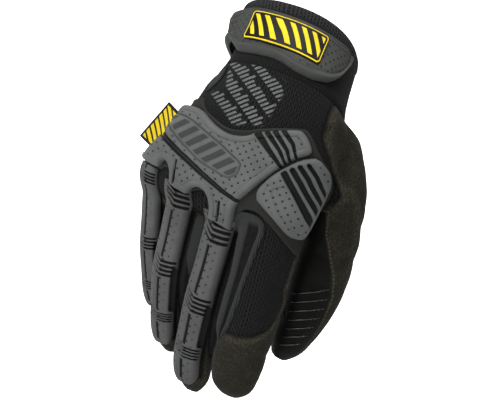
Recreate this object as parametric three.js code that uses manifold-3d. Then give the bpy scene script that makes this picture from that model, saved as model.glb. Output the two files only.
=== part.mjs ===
// Padded work glove for the right hand, as worn: fingers down and slightly bent, wrist bent a little.
// Millimetres. The origin is the centre of the wrist opening, +Z runs up along the hand,
// -Y is the back of the hand and +X the thumb side.
import * as THREE from "three";
import { mergeVertices } from "three/addons/utils/BufferGeometryUtils.js";
import Module from "manifold-3d";

const wasm = await Module();
wasm.setup();

// Driving dimensions of the hand, in millimetres and degrees
const palmLength = 132; // wrist rim to the webs between the fingers
const palmWidth = 116; // across the knuckles
const palmDepth = 52; // back to palm
const cuffDrop = 42.7; // how far the middle of the cuff's lower edge lies below the rim's
const cuffLean = 23.7; // the cuff leans to the palm going up
const cuffSway = 1.5; // and to the little finger's side
const clothWall = 1.8;
const cuffWall = 2.6;
const seamGap = 0.3; // clearance between neighbouring pieces
const viewTurn = 30; // from the back of the hand to the direction that the guards are laid out in

// Driving dimensions of the moulded guards and of the trims
const flangeWall = 1;
const guardHeight = 3.6;
const fingerGuardHeight = 3.6;
const grooveDepth = 1.9;
const guardHalfAngle = 37; // round a finger, each way from the middle of its back
const ribChevron = 4.4; // how much further down a rib's middle lies than its ends
const strapThickness = 3.2;
const strapTop = 8;
const strapBottom = 38;
const strapCorner = 26; // degrees of the strap's free end that are rounded
const badgeTop = 13;
const badgeBottom = 33.5;
const badgeThickness = 1.2;
const gripHeight = 0.9;
const gripWidth = 2.2;
const gripPitch = 6;
const gripSlant = 11.5; // how much further down the thumb a grip begins than it ends
const gripCount = 7;
const gripStart = 0.689; // share of the thumb's length
const tabLength = 29;
const tabReach = 19;
const tabTilt = 20;
const tabThickness = 1.4;

// Sections of the wrist and palm. down is a share of palmLength, across and half of palmWidth, lift,
// back and front of palmDepth. lean and sway are shares of cuffLean and cuffSway.
const palmRows = [
  { down: 0, across: 0, lift: 0, half: 0.36, back: 0.6, front: 0.595, lean: 1, sway: 1 },
  { down: 0.323, across: 0.124, lift: -0.283, half: 0.38, back: 0.57, front: 0.575, lean: 1, sway: 1 },
  { down: 0.377, across: 0.135, lift: -0.346, half: 0.415, back: 0.53, front: 0.567, lean: 0.66, sway: 0.6 },
  { down: 0.437, across: 0.136, lift: -0.383, half: 0.438, back: 0.471, front: 0.587, lean: 0.3, sway: 0.3 },
  { down: 0.498, across: 0.13, lift: -0.398, half: 0.45, back: 0.448, front: 0.606, lean: 0, sway: 0 },
  { down: 0.581, across: 0.109, lift: -0.398, half: 0.469, back: 0.437, front: 0.615, lean: 0, sway: 0 },
  { down: 0.687, across: 0.083, lift: -0.398, half: 0.483, back: 0.423, front: 0.596, lean: 0, sway: 0 },
  { down: 0.801, across: 0.054, lift: -0.398, half: 0.515, back: 0.394, front: 0.548, lean: 0, sway: 0 },
  { down: 0.885, across: 0.04, lift: -0.382, half: 0.51, back: 0.308, front: 0.462, lean: 0, sway: 0 },
  { down: 0.952, across: 0.04, lift: -0.352, half: 0.457, back: 0.192, front: 0.308, lean: 0, sway: 0 },
  { down: 0.998, across: 0.034, lift: -0.321, half: 0.397, back: 0.077, front: 0.135, lean: 0, sway: 0 },
];

// Girth of a finger and of the thumb along its length, as shares of its width and depth
const fingerGirth = [
  { along: 0, wide: 0.66, deep: 0.7 },
  { along: 0.13, wide: 0.96, deep: 0.98 },
  { along: 0.26, wide: 1.04, deep: 1.04 },
  { along: 0.42, wide: 1, deep: 1 },
  { along: 0.58, wide: 1.03, deep: 1.02 },
  { along: 0.73, wide: 0.98, deep: 0.94 },
  { along: 0.88, wide: 0.92, deep: 0.84 },
  { along: 0.96, wide: 0.72, deep: 0.62 },
  { along: 1, wide: 0.38, deep: 0.3 },
];
const thumbGirth = [
  { along: 0, wide: 0.85, deep: 1 },
  { along: 0.205, wide: 1.1, deep: 1.05 },
  { along: 0.358, wide: 1.22, deep: 0.93 },
  { along: 0.542, wide: 1.12, deep: 1.02 },
  { along: 0.721, wide: 1, deep: 1.06 },
  { along: 0.871, wide: 0.94, deep: 0.78 },
  { along: 0.958, wide: 0.7, deep: 0.54 },
  { along: 1, wide: 0.36, deep: 0.28 },
];

// Each digit starts inside the palm. across is a share of palmWidth, lift of palmDepth and down of
// palmLength. turn is how far its back turns to the thumb side. In bends, upTo is a share of the
// length, side leans to the thumb side and flex bends to the palm.
const digits = {
  pinky: {
    across: -0.335, lift: -0.438, down: 0.667, length: 118, width: 19.5, depth: 18.5, turn: -16, girth: fingerGirth,
    bends: [
      { upTo: 0.31, side: -1, flex: 13 },
      { upTo: 0.6, side: 11, flex: 19 },
      { upTo: 0.82, side: 13, flex: 24 },
      { upTo: 1, side: 20, flex: 24 },
    ],
  },
  ring: {
    across: -0.132, lift: -0.529, down: 0.667, length: 135, width: 22.5, depth: 20.5, turn: -5, girth: fingerGirth,
    bends: [
      { upTo: 0.26, side: 2, flex: 12 },
      { upTo: 0.57, side: 3, flex: 13 },
      { upTo: 0.8, side: 5, flex: 25 },
      { upTo: 1, side: 9, flex: 26 },
    ],
  },
  middle: {
    across: 0.153, lift: -0.548, down: 0.672, length: 151, width: 24.5, depth: 22, turn: 0, girth: fingerGirth,
    bends: [
      { upTo: 0.25, side: 0, flex: 15 },
      { upTo: 0.57, side: -2, flex: 16 },
      { upTo: 0.82, side: -1, flex: 19 },
      { upTo: 1, side: 4, flex: 27 },
    ],
  },
  index: {
    across: 0.393, lift: -0.548, down: 0.672, length: 140, width: 33, depth: 25, turn: 15, girth: fingerGirth,
    bends: [
      { upTo: 0.28, side: 4, flex: 15 },
      { upTo: 0.59, side: 2, flex: 14 },
      { upTo: 0.8, side: -4, flex: 18 },
      { upTo: 1, side: -6, flex: 27 },
    ],
  },
  thumb: {
    across: 0.307, lift: -0.314, down: 0.226, length: 173, width: 28, depth: 33, turn: 150, girth: thumbGirth,
    bends: [
      { upTo: 0.241, side: 31, flex: 25 },
      { upTo: 0.363, side: 31, flex: 18 },
      { upTo: 0.544, side: 5, flex: 15 },
      { upTo: 0.724, side: 3, flex: 8 },
      { upTo: 0.871, side: -6, flex: 5 },
      { upTo: 1, side: -14, flex: 3 },
    ],
  },
};

// Half angles of the knitted backs of the fingers, and how far down them the knit goes
const knitRanges = {
  pinky: { from: -62, to: 56, end: 0.9 },
  ring: { from: -60, to: 56, end: 0.9 },
  middle: { from: -60, to: 56, end: 0.9 },
  index: { from: -55, to: 72, end: 0.74 },
};
const sideWalls = [
  { name: "fourchette_index_middle", near: "index", far: "middle" },
  { name: "fourchette_middle_ring", near: "middle", far: "ring" },
  { name: "fourchette_ring_pinky", near: "ring", far: "pinky" },
];
const thumbSeam = 0.399; // share of the thumb where its own leather begins

// Guards on the fingers: start, end and ribs are shares of the finger's length
const guardedFingers = {
  middle: { start: 0.255, end: 0.94, ribs: [0.255, 0.535, 0.755] },
  ring: { start: 0.205, end: 0.94, ribs: [0.205, 0.51, 0.75] },
  pinky: { start: 0.19, end: 0.93, ribs: [0.19, 0.515, 0.75] },
};
const ribPitches = [3.3, 2.8, 2.2]; // from the knuckle to the fingertip
const ribCount = 4;

// Outlines in the layout plane: across to the thumb side as shares of palmWidth, and down from the
// rim as shares of palmLength
const knitEdge = [
  [0.289, 0.045], [0.289, 0.337], [0.304, 0.437], [0.41, 0.543], [0.506, 0.628], [0.457, 0.776], [0.42, 0.949],
];
const flangeOutline = [
  [-0.644, 0.429], [-0.339, 0.429], [-0.31, 0.497], [-0.228, 0.529], [-0.148, 0.548], [-0.062, 0.53],
  [0.013, 0.492], [0.191, 0.431], [0.235, 0.429], [0.331, 0.513], [0.405, 0.554], [0.473, 0.615],
  [0.443, 0.747], [0.422, 0.851], [0.42, 0.959], [0.382, 0.939], [0.241, 0.876], [0.16, 0.843],
  [0.115, 0.841], [0.084, 0.857], [0.069, 0.899], [-0.066, 0.899], [-0.08, 0.866], [-0.121, 0.847],
  [-0.162, 0.847], [-0.2, 0.869], [-0.209, 0.885], [-0.304, 0.87], [-0.328, 0.833], [-0.358, 0.811],
  [-0.388, 0.815], [-0.393, 0.839], [-0.644, 0.823],
];
const knuckleOutline = [
  [-0.644, 0.525], [-0.462, 0.578], [-0.411, 0.515], [-0.305, 0.506], [-0.251, 0.538], [-0.172, 0.566],
  [-0.099, 0.569], [-0.027, 0.547], [0.002, 0.516], [0.172, 0.447], [0.214, 0.442], [0.277, 0.495],
  [0.285, 0.521], [0.218, 0.566], [0.168, 0.632], [0.117, 0.709], [0.074, 0.779], [0.055, 0.82],
  [0.061, 0.866], [0.058, 0.914], [-0.014, 0.89], [-0.057, 0.868], [-0.081, 0.852], [-0.123, 0.838],
  [-0.162, 0.837], [-0.192, 0.854], [-0.206, 0.847], [-0.254, 0.826], [-0.299, 0.8], [-0.321, 0.797],
  [-0.354, 0.788], [-0.381, 0.788], [-0.388, 0.785], [-0.468, 0.773], [-0.644, 0.757],
];
const sideOutline = [
  [0.114, 0.749], [0.146, 0.678], [0.172, 0.641], [0.233, 0.574], [0.264, 0.548], [0.305, 0.528],
  [0.338, 0.53], [0.391, 0.559], [0.411, 0.591], [0.42, 0.62], [0.419, 0.675], [0.408, 0.822],
  [0.399, 0.86], [0.382, 0.881], [0.345, 0.885], [0.314, 0.877], [0.182, 0.811], [0.127, 0.788],
];

// Straight grooves in the guards: each runs between two points and has a width in millimetres
const knuckleGrooves = [
  { from: [-0.414, 0.672], to: [-0.3, 0.72], width: 3.4 },
  { from: [-0.304, 0.718], to: [0.053, 0.815], width: 3.4 },
  { from: [0.031, 0.527], to: [0.161, 0.635], width: 2.6 },
  { from: [0.071, 0.512], to: [0.176, 0.618], width: 2.2 },
  { from: [0.106, 0.499], to: [0.196, 0.602], width: 2.2 },
  { from: [0.141, 0.485], to: [0.211, 0.585], width: 2.2 },
];
const sideGrooves = [
  { from: [0.186, 0.637], to: [0.398, 0.847], width: 3.6 },
  { from: [0.221, 0.618], to: [0.411, 0.785], width: 2.4 },
  { from: [0.246, 0.599], to: [0.414, 0.742], width: 2.2 },
  { from: [0.271, 0.58], to: [0.417, 0.704], width: 2.2 },
];

const palmSides = 24;
const digitSides = 12;
const liningSides = 8;
const palmLiningSides = 16;
const cornerPower = 2.3; // 2 is an ellipse, more is squarer
const radians = Math.PI / 180;
const viewRight = new THREE.Vector3(Math.cos(viewTurn * radians), Math.sin(viewTurn * radians), 0);
const viewOut = new THREE.Vector3(Math.sin(viewTurn * radians), -Math.cos(viewTurn * radians), 0);
const up = new THREE.Vector3(0, 0, 1);

// A closed solid through rings of equal count, with a flat fan at each end
function loft(rings) {
  const count = rings[0].length;
  const faces = [];
  for (let r = 0; r + 1 < rings.length; r++) {
    for (let k = 0; k < count; k++) {
      const next = (k + 1) % count;
      const a = r * count + k;
      const b = r * count + next;
      faces.push(a, b, b + count, a, b + count, a + count);
    }
  }
  const last = (rings.length - 1) * count;
  for (let k = 1; k + 1 < count; k++) faces.push(0, k + 1, k, last, last + k, last + k + 1);
  const made = solidFrom(rings.flat(), faces);
  return made.volume() > 0 ? made : solidFrom(rings.flat(), faces.reverse());
}

function solidFrom(points, faces) {
  const vertProperties = new Float32Array(points.flatMap((p) => [p.x, p.y, p.z]));
  return new wasm.Manifold(new wasm.Mesh({ numProp: 3, vertProperties, triVerts: new Uint32Array(faces) }));
}

function solidFromGeometry(geometry) {
  const bare = geometry.clone();
  bare.deleteAttribute("normal");
  bare.deleteAttribute("uv");
  const merged = mergeVertices(bare, 1e-4);
  const vertProperties = new Float32Array(merged.attributes.position.array);
  return new wasm.Manifold(
    new wasm.Mesh({ numProp: 3, vertProperties, triVerts: new Uint32Array(merged.index.array) }),
  );
}

// Every column of a table between two of its rows
function between(rows, key, at) {
  let i = 0;
  while (i + 2 < rows.length && rows[i + 1][key] <= at) i++;
  const share = THREE.MathUtils.clamp((at - rows[i][key]) / (rows[i + 1][key] - rows[i][key]), 0, 1);
  const mixed = (name) => THREE.MathUtils.lerp(rows[i][name], rows[i + 1][name], share);
  return Object.fromEntries(Object.keys(rows[0]).map((name) => [name, mixed(name)]));
}

// Signed power, for a section that is squarer than an ellipse
const corner = (v) => Math.sign(v) * Math.abs(v) ** (2 / cornerPower);

// The middle and the three directions of a section of the palm
function palmFrame(s, down) {
  const tilt = Math.tan(s.lean * cuffLean * radians);
  const sway = -Math.tan(s.sway * cuffSway * radians);
  const along = new THREE.Vector3(sway, tilt, 1).normalize();
  const side = new THREE.Vector3(1, 0, 0).addScaledVector(along, -along.x).normalize();
  const middle = new THREE.Vector3(s.across * palmWidth, s.lift * palmDepth, -down);
  return { middle, side, front: along.clone().cross(side), along };
}

// A point of the palm's section. angle runs from the back of the hand to the thumb side.
function palmPoint(down, angle, grow) {
  const s = between(palmRows, "down", down / palmLength);
  const frame = palmFrame(s, down);
  const toBack = corner(Math.cos(angle));
  const depth = (toBack > 0 ? s.back : s.front) * palmDepth + grow;
  return frame.middle
    .addScaledVector(frame.side, corner(Math.sin(angle)) * (s.half * palmWidth + grow))
    .addScaledVector(frame.front, -toBack * depth);
}

// rise carries the first section further up, to cut an opening right through the rim
function palmLoft(grow, { rise = 0, sides = palmSides } = {}) {
  const downs = palmRows.map((row) => row.down * palmLength);
  downs[downs.length - 1] += grow;
  const angles = Array.from({ length: sides }, (_, k) => (2 * Math.PI * k) / sides);
  const rings = downs.map((down) => angles.map((angle) => palmPoint(down, angle, grow)));
  if (rise) {
    const { along } = palmFrame(palmRows[0], 0);
    rings.unshift(rings[0].map((p) => p.clone().addScaledVector(along, rise)));
  }
  return loft(rings);
}

// Everything below the cuff's lower edge, moved down by a clearance
function belowCuff(move) {
  const { middle, side, front, along } = palmFrame(palmRows[1], cuffDrop);
  const size = 400;
  const place = new THREE.Matrix4().makeBasis(side, front, along);
  place.setPosition(middle.addScaledVector(along, -size / 2 - move));
  return solidFromGeometry(new THREE.BoxGeometry(size, size, size).applyMatrix4(place));
}

// Where a digit's middle line is, at a share of its length
function digitLine(digit, share) {
  const at = new THREE.Vector3(digit.across * palmWidth, digit.lift * palmDepth, -digit.down * palmLength);
  let done = 0;
  for (const [n, bend] of digit.bends.entries()) {
    const upTo = n + 1 < digit.bends.length ? Math.min(share, bend.upTo) : share;
    if (n > 0 && upTo <= done) break;
    const direction = new THREE.Vector3(Math.tan(bend.side * radians), Math.tan(bend.flex * radians), -1);
    at.addScaledVector(direction.normalize(), (upTo - done) * digit.length);
    done = bend.upTo;
  }
  return at;
}

// The middle, back and thumb-side directions of a digit's section
function digitFrame(digit, share) {
  const reach = 0.06;
  const ahead = digitLine(digit, share + reach);
  const behind = digitLine(digit, share - reach);
  const middle = digitLine(digit, share).multiplyScalar(2).add(ahead).add(behind).divideScalar(4);
  const along = ahead.clone().sub(behind).normalize();
  const plainBack = new THREE.Vector3(0, -1, 0).addScaledVector(along, along.y).normalize();
  const plainSide = plainBack.clone().cross(along);
  const turn = digit.turn * radians;
  const back = plainBack.multiplyScalar(Math.cos(turn)).addScaledVector(plainSide, Math.sin(turn));
  return { middle, back, side: back.clone().cross(along) };
}

function digitPoint(digit, share, angle, grow) {
  const frame = digitFrame(digit, share);
  const girth = between(digit.girth, "along", share);
  return frame.middle
    .addScaledVector(frame.side, corner(Math.sin(angle)) * (girth.wide * digit.width * 0.5 + grow))
    .addScaledVector(frame.back, corner(Math.cos(angle)) * (girth.deep * digit.depth * 0.5 + grow));
}

// All round a digit between two shares of its length
function digitLoft(digit, grow, { start = 0, end = 1 + grow / digit.length, sides = digitSides } = {}) {
  const shares = digit.girth.map((row) => row.along).filter((share) => share > start && share < end);
  const angles = Array.from({ length: sides }, (_, k) => (2 * Math.PI * k) / sides);
  return loft([start, ...shares, end].map((share) => angles.map((angle) => digitPoint(digit, share, angle, grow))));
}

const join = (solids) => solids.reduce((all, one) => all.add(one));

// The whole hand, grown outwards or inwards from the cloth's outer face
const handSolids = new Map();
function handSolid(grow) {
  if (!handSolids.has(grow)) {
    const lining = grow < 0;
    const sides = lining ? liningSides : digitSides;
    const digitSolids = Object.values(digits).map((digit) => digitLoft(digit, grow, { sides }));
    const palm = palmLoft(grow, lining ? { rise: clothWall, sides: palmLiningSides } : {});
    handSolids.set(grow, join([palm, ...digitSolids]));
  }
  return handSolids.get(grow);
}

// A slice of a digit, like a piece of cake: from its middle line out past the cloth, between two
// angles. ease draws the two sides together towards the ends, as on a leaf.
function digitSlice(digit, from, to, start, end, { ease = 0, arc = 2, reach = 12 } = {}) {
  const middle = (from + to) / 2;
  const rows = digit.girth.map((row) => row.along).filter((share) => share > start && share < end);
  const shares = [start, ...rows, end];
  const rings = shares.map((share) => {
    const full = 1 - ease * Math.abs((2 * (share - start)) / (end - start) - 1) ** 3;
    const ring = [digitFrame(digit, share).middle];
    for (let k = 0; k <= arc; k++) {
      const angle = middle + (from - middle + ((to - from) * k) / arc) * full;
      ring.push(digitPoint(digit, share, angle * radians, reach));
    }
    return ring;
  });
  return loft(rings);
}

// A prism of an outline in the layout plane
function prism(outline, depth = 180) {
  const shape = new THREE.Shape(outline.map(([across, down]) => new THREE.Vector2(across, -down)));
  const geometry = new THREE.ExtrudeGeometry(shape, { depth, bevelEnabled: false });
  const place = new THREE.Matrix4().makeBasis(viewRight, up, viewOut);
  place.setPosition(viewOut.clone().multiplyScalar(-depth / 2));
  return solidFromGeometry(geometry.applyMatrix4(place));
}

const sized = (points) => points.map(([across, down]) => [across * palmWidth, down * palmLength]);

// Everything on the back of the hand's side of the line along the two edges of the palm
function backSide(move) {
  const size = 400;
  const place = new THREE.Matrix4().makeRotationZ(9 * radians);
  const edge = new THREE.Vector3(-0.29 * palmWidth, -0.34 * palmDepth + move, -palmLength / 2);
  const middle = new THREE.Vector3(0, -size / 2, 0).applyMatrix4(place).add(edge);
  return solidFromGeometry(new THREE.BoxGeometry(size, size, size).applyMatrix4(place.setPosition(middle)));
}

// The shell of the hand below the cuff is cut into its panels. Each region is cut out a little larger
// from what is left, so that neighbouring panels keep a gap.
function knitRegion(gap) {
  const outline = sized(knitEdge).map(([across, down]) => [across + gap, down]);
  outline[outline.length - 1][1] += gap;
  outline.push([-0.7 * palmWidth, outline.at(-1)[1]], [-0.7 * palmWidth, outline[0][1]]);
  const slices = Object.entries(knitRanges).map(([name, range]) => {
    const digit = digits[name];
    const more = (gap * 2) / digit.width / radians;
    return digitSlice(digit, range.from - more, range.to + more, 0.1, range.end + gap / digit.length);
  });
  return join([prism(outline).intersect(backSide(gap)), ...slices]);
}

function sideRegion({ near, far }, gap) {
  const leaf = (digit, sign) => {
    const more = (gap * 2) / digit.width / radians;
    const [start, end] = [0.22 - gap / digit.length, 0.8 + gap / digit.length];
    return digitSlice(digit, sign * (56 - more), sign * (122 + more), start, end, { ease: 0.75 });
  };
  return leaf(digits[near], -1).add(leaf(digits[far], 1));
}

function thumbRegion(gap) {
  const { thumb } = digits;
  return digitLoft(thumb, 3 + gap, { start: thumbSeam - gap / thumb.length, end: 1.04 });
}

function shellPanels() {
  let rest = handSolid(0).subtract(handSolid(-clothWall)).intersect(belowCuff(seamGap / 2));
  const made = {};
  const take = (name, region) => {
    made[name] = rest.intersect(region(0));
    rest = rest.subtract(region(seamGap)).subtract(region(0));
  };
  take("thumb_leather", thumbRegion);
  for (const wall of sideWalls) take(wall.name, (gap) => sideRegion(wall, gap));
  take("back_knit", knitRegion);
  made.palm_leather = rest;
  return made;
}

function cuffBand() {
  const ring = palmLoft(0).subtract(palmLoft(-cuffWall, { rise: cuffWall }));
  return ring.subtract(belowCuff(-seamGap / 2));
}

// A band round the cuff between two angles. end rounds its last corners, and chamfer its long edges.
function cuffWrap(angles, top, bottom, inner, outer, { chamfer = 0, end = 0 } = {}) {
  const last = angles.at(-1);
  const middle = (top + bottom) / 2;
  return loft(
    angles.map((angle) => {
      const left = end ? Math.min((last - angle) / end, 1) : 1;
      const full = 0.4 + 0.6 * Math.sqrt(1 - (1 - left) ** 2);
      const high = THREE.MathUtils.lerp(middle, top, full ** 0.4);
      const low = THREE.MathUtils.lerp(middle, bottom, full);
      const ring = [
        [high, inner], [high, outer - chamfer], [high + chamfer, outer],
        [low - chamfer, outer], [low, outer - chamfer], [low, inner],
      ];
      const kept = chamfer ? ring : [ring[0], ring[2], ring[3], ring[5]];
      return kept.map(([down, grow]) => palmPoint(down, angle * radians, grow));
    }),
  );
}

// Angles at the corners of the palm's sections, so that a wrap lies flat on them
function cuffAngles(from, to) {
  const step = 360 / palmSides;
  const corners = Array.from({ length: palmSides * 2 + 1 }, (_, k) => (k - palmSides) * step);
  return [from, ...corners.filter((angle) => angle > from + 1 && angle < to - 1), to];
}

function strapSolid() {
  const [from, to] = [-150, 74];
  const rounded = [1, 0.65, 0.3, 0.1].map((share) => to - strapCorner * share);
  const plain = cuffAngles(from, to).filter((angle) => angle < rounded[0] - 1);
  return cuffWrap([...plain, ...rounded, to], strapTop, strapBottom, seamGap, seamGap + strapThickness, {
    chamfer: 1.2,
    end: strapCorner,
  });
}

function badgeSolid() {
  const seat = seamGap * 2 + strapThickness;
  return cuffWrap(cuffAngles(-29, 38), badgeTop, badgeBottom, seat, seat + badgeThickness);
}

// A guard lies between two grown copies of the hand, inside its outline, on the back of the hand
function guardLayer(outline, low, high) {
  const layer = handSolid(high).subtract(handSolid(low));
  return layer.intersect(prism(sized(outline))).intersect(backSide(0)).intersect(belowCuff(2));
}

function groovedGuard(outline, grooves) {
  const floor = seamGap * 2 + flangeWall;
  const top = floor + guardHeight;
  const cuts = grooves.map((groove) => {
    const [a, b] = sized([groove.from, groove.to]).map((p) => new THREE.Vector2(...p));
    const aside = b.clone().sub(a).rotateAround(new THREE.Vector2(), Math.PI / 2).setLength(groove.width / 2);
    const ends = [a.clone().add(aside), b.clone().add(aside), b.clone().sub(aside), a.clone().sub(aside)];
    return prism(ends.map((p) => p.toArray()));
  });
  return guardLayer(outline, floor, top).subtract(join(cuts).subtract(handSolid(top - grooveDepth)));
}

// The guard down the back of one finger: its sections are chevrons, low in the grooves between ribs
function fingerGuard(name) {
  const digit = digits[name];
  const { start, end, ribs } = guardedFingers[name];
  const top = seamGap + fingerGuardHeight;
  const bevel = 1.4;
  const stations = [];
  for (const [k, rib] of ribs.entries()) {
    const pitch = ribPitches[k] / digit.length;
    for (let n = 0; n < ribCount; n++) {
      const share = rib + n * pitch;
      if (share > start) stations.push({ share, level: top });
      stations.push({ share: share + pitch * 0.5, level: top - grooveDepth });
    }
    stations.push({ share: rib + ribCount * pitch, level: top });
  }
  stations.unshift({ share: start, level: top - bevel });
  stations.push({ share: end - 0.03, level: top - bevel * 0.6 }, { share: end, level: top - bevel * 1.6, narrow: 0.7 });
  return loft(
    stations.map(({ share, level, narrow = 1 }) => {
      const outer = [[-1, level - bevel], [-0.8, level], [0, level], [0.8, level], [1, level - bevel]];
      const inner = [1, 0, -1].map((side) => [side, seamGap]);
      return [...outer, ...inner].map(([side, grow]) => {
        const lead = (0.5 - Math.abs(side)) * ribChevron;
        const angle = side * guardHalfAngle * narrow * radians;
        return digitPoint(digit, share + lead / digit.length, angle, grow);
      });
    }),
  );
}

// The room that a finger's guard and its gap take up, where the knuckle guard stops
function fingerRoom(name) {
  const digit = digits[name];
  const from = guardedFingers[name].start - (seamGap * 2) / digit.length;
  return loft(
    [from, 0.7].map((share) => {
      const ring = [-1.3, 0, 1.3].map((side) => {
        const lead = (0.5 - Math.abs(side)) * ribChevron;
        return digitPoint(digit, share + lead / digit.length, side * guardHalfAngle * radians, 14);
      });
      return [digitFrame(digit, share).middle, ...ring];
    }),
  );
}

// The raised grips on the thumb's pad
function thumbGrip(n) {
  const digit = digits.thumb;
  const [from, to] = [190 + n * 4, 276 - 2 * Math.abs(n - 2.5)];
  const steps = 6;
  const half = gripWidth / 2 / digit.length;
  const section = [[-1, 0], [-0.5, gripHeight], [0.5, gripHeight], [1, 0]];
  return loft(
    Array.from({ length: steps + 1 }, (_, i) => {
      const angle = (from + ((to - from) * i) / steps) * radians;
      const middle = gripStart + (n * gripPitch + gripSlant * (1 - i / steps)) / digit.length;
      return section.map(([side, height]) => digitPoint(digit, middle + side * half, angle, seamGap * 2 + height));
    }),
  );
}

// The folded tab that stands out of the seam beside the knuckle guard, on the little finger's side
function tabSolid(clear) {
  const place = new THREE.Matrix4().makeRotationFromEuler(new THREE.Euler(0, tabTilt * radians, 6 * radians));
  const seat = palmPoint(0.65 * palmLength, -90 * radians, 0);
  place.setPosition(seat.x - tabReach * 0.45, seat.y, seat.z);
  const box = solidFromGeometry(new THREE.BoxGeometry(tabReach, tabThickness, tabLength).applyMatrix4(place));
  return box.subtract(handSolid(seamGap)).subtract(clear);
}

// The largest body of a cut solid, as a geometry: slivers that a cut leaves loose are dropped
function mainBody(solid) {
  const { vertProperties, triVerts, mergeFromVert, mergeToVert } = solid.getMesh();
  const owner = Array.from({ length: vertProperties.length / 3 }, (_, i) => i);
  const find = (i) => {
    while (owner[i] !== i) i = owner[i] = owner[owner[i]];
    return i;
  };
  for (let t = 0; t < triVerts.length; t += 3) {
    for (const v of [triVerts[t + 1], triVerts[t + 2]]) owner[find(v)] = find(triVerts[t]);
  }
  mergeFromVert.forEach((from, k) => (owner[find(from)] = find(mergeToVert[k])));
  const corners = [0, 1, 2].map(() => new THREE.Vector3());
  const volumes = new Map();
  for (let t = 0; t < triVerts.length; t += 3) {
    corners.forEach((point, k) => point.fromArray(vertProperties, triVerts[t + k] * 3));
    const body = find(triVerts[t]);
    volumes.set(body, (volumes.get(body) ?? 0) + corners[0].dot(corners[1].cross(corners[2])));
  }
  const largest = [...volumes].sort((a, b) => b[1] - a[1])[0][0];
  const kept = [];
  for (let t = 0; t < triVerts.length; t += 3) {
    if (find(triVerts[t]) === largest) kept.push(triVerts[t], triVerts[t + 1], triVerts[t + 2]);
  }
  const geometry = new THREE.BufferGeometry();
  geometry.setAttribute("position", new THREE.BufferAttribute(vertProperties, 3));
  geometry.setIndex(kept);
  return geometry;
}

const glove = new THREE.Group();
function add(name, solid, color, roughness, metalness = 0) {
  const geometry = mainBody(solid);
  geometry.computeVertexNormals();
  const made = new THREE.Mesh(geometry, new THREE.MeshStandardMaterial({ color, roughness, metalness }));
  made.name = name;
  glove.add(made);
}

const suede = 0x2b2922;
const knit = 0x1d1e1f;
const stretch = 0x4a4b4c;
const rubber = 0x7d8180;
const darkRubber = 0x45463f;
const yellow = 0xd9c431;

const panels = shellPanels();
add("palm_leather", panels.palm_leather, suede, 0.95);
add("thumb_leather", panels.thumb_leather, suede, 0.95);
add("back_knit", panels.back_knit, knit, 0.9);
for (const wall of sideWalls) add(wall.name, panels[wall.name], stretch, 0.85);
add("cuff_band", cuffBand(), knit, 0.9);
add("cuff_strap", strapSolid(), darkRubber, 0.5);
add("strap_badge", badgeSolid(), yellow, 0.5);

const fingerNames = Object.keys(guardedFingers);
const rooms = join(fingerNames.map(fingerRoom));
const knuckle = groovedGuard(knuckleOutline, knuckleGrooves).subtract(rooms);
const flange = guardLayer(flangeOutline, seamGap, seamGap + flangeWall).subtract(rooms);
const side = groovedGuard(sideOutline, sideGrooves).subtract(rooms).subtract(prism(sized(knuckleOutline)));
add("guard_base", flange, darkRubber, 0.7);
add("knuckle_guard", knuckle, rubber, 0.55);
add("side_guard", side, rubber, 0.55);
for (const name of fingerNames) {
  add(`finger_guard_${name}`, fingerGuard(name).subtract(handSolid(seamGap)), rubber, 0.55);
}
for (let n = 0; n < gripCount; n++) add(`thumb_grip_${n + 1}`, thumbGrip(n), darkRubber, 0.3);
add("side_tab", tabSolid(guardLayer(flangeOutline, 0, 8)), yellow, 0.7);

export default glove;
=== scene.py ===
"""A padded work glove for the right hand, as worn, with its cloth, moulded guards, strap and trims."""

import math
import bmesh
import bpy
import numpy as np
from bpy.props import FloatProperty, FloatVectorProperty, PointerProperty
from mathutils import Matrix, Vector
from mathutils.bvhtree import BVHTree


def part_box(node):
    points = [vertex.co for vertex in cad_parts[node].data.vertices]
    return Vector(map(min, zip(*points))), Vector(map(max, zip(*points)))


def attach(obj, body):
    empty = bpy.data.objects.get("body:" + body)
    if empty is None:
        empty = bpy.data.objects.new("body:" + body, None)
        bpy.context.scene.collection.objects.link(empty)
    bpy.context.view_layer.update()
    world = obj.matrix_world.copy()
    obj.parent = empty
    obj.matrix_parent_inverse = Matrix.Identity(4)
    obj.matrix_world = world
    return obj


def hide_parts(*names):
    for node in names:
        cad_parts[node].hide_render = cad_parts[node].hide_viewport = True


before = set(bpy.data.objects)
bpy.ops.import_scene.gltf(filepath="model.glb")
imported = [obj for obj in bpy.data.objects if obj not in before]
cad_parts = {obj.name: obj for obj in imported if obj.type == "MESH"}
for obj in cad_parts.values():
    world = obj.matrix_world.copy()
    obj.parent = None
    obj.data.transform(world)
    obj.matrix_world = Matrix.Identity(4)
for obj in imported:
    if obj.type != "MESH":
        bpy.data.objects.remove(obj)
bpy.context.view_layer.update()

bl_info = {
    "name": "Padded Work Glove",
    "version": (1, 0, 0),
    "blender": (4, 5, 0),
    "location": "View3D > Sidebar > Glove",
    "description": "Builds a padded work glove: cloth panels, moulded guards, strap, grips and its stage",
    "category": "Object",
}

MM = 0.001

# The hand, in metres: the same sizes and sections as the solid parts have
PALM_LENGTH = 0.132
PALM_WIDTH = 0.116
PALM_DEPTH = 0.052
CUFF_LEAN = math.radians(23.7)
CUFF_SWAY = math.radians(1.5)
CUFF_DROP = 0.0427
CORNER_POWER = 2.3
VIEW_TURN = math.radians(30)
VIEW_RIGHT = np.array([math.cos(VIEW_TURN), math.sin(VIEW_TURN), 0.0])
VIEW_OUT = np.array([math.sin(VIEW_TURN), -math.cos(VIEW_TURN), 0.0])
# The share of the thumb's length where its own leather starts
THUMB_SEAM = 0.399
CUFF_RADIUS = 0.045
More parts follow.
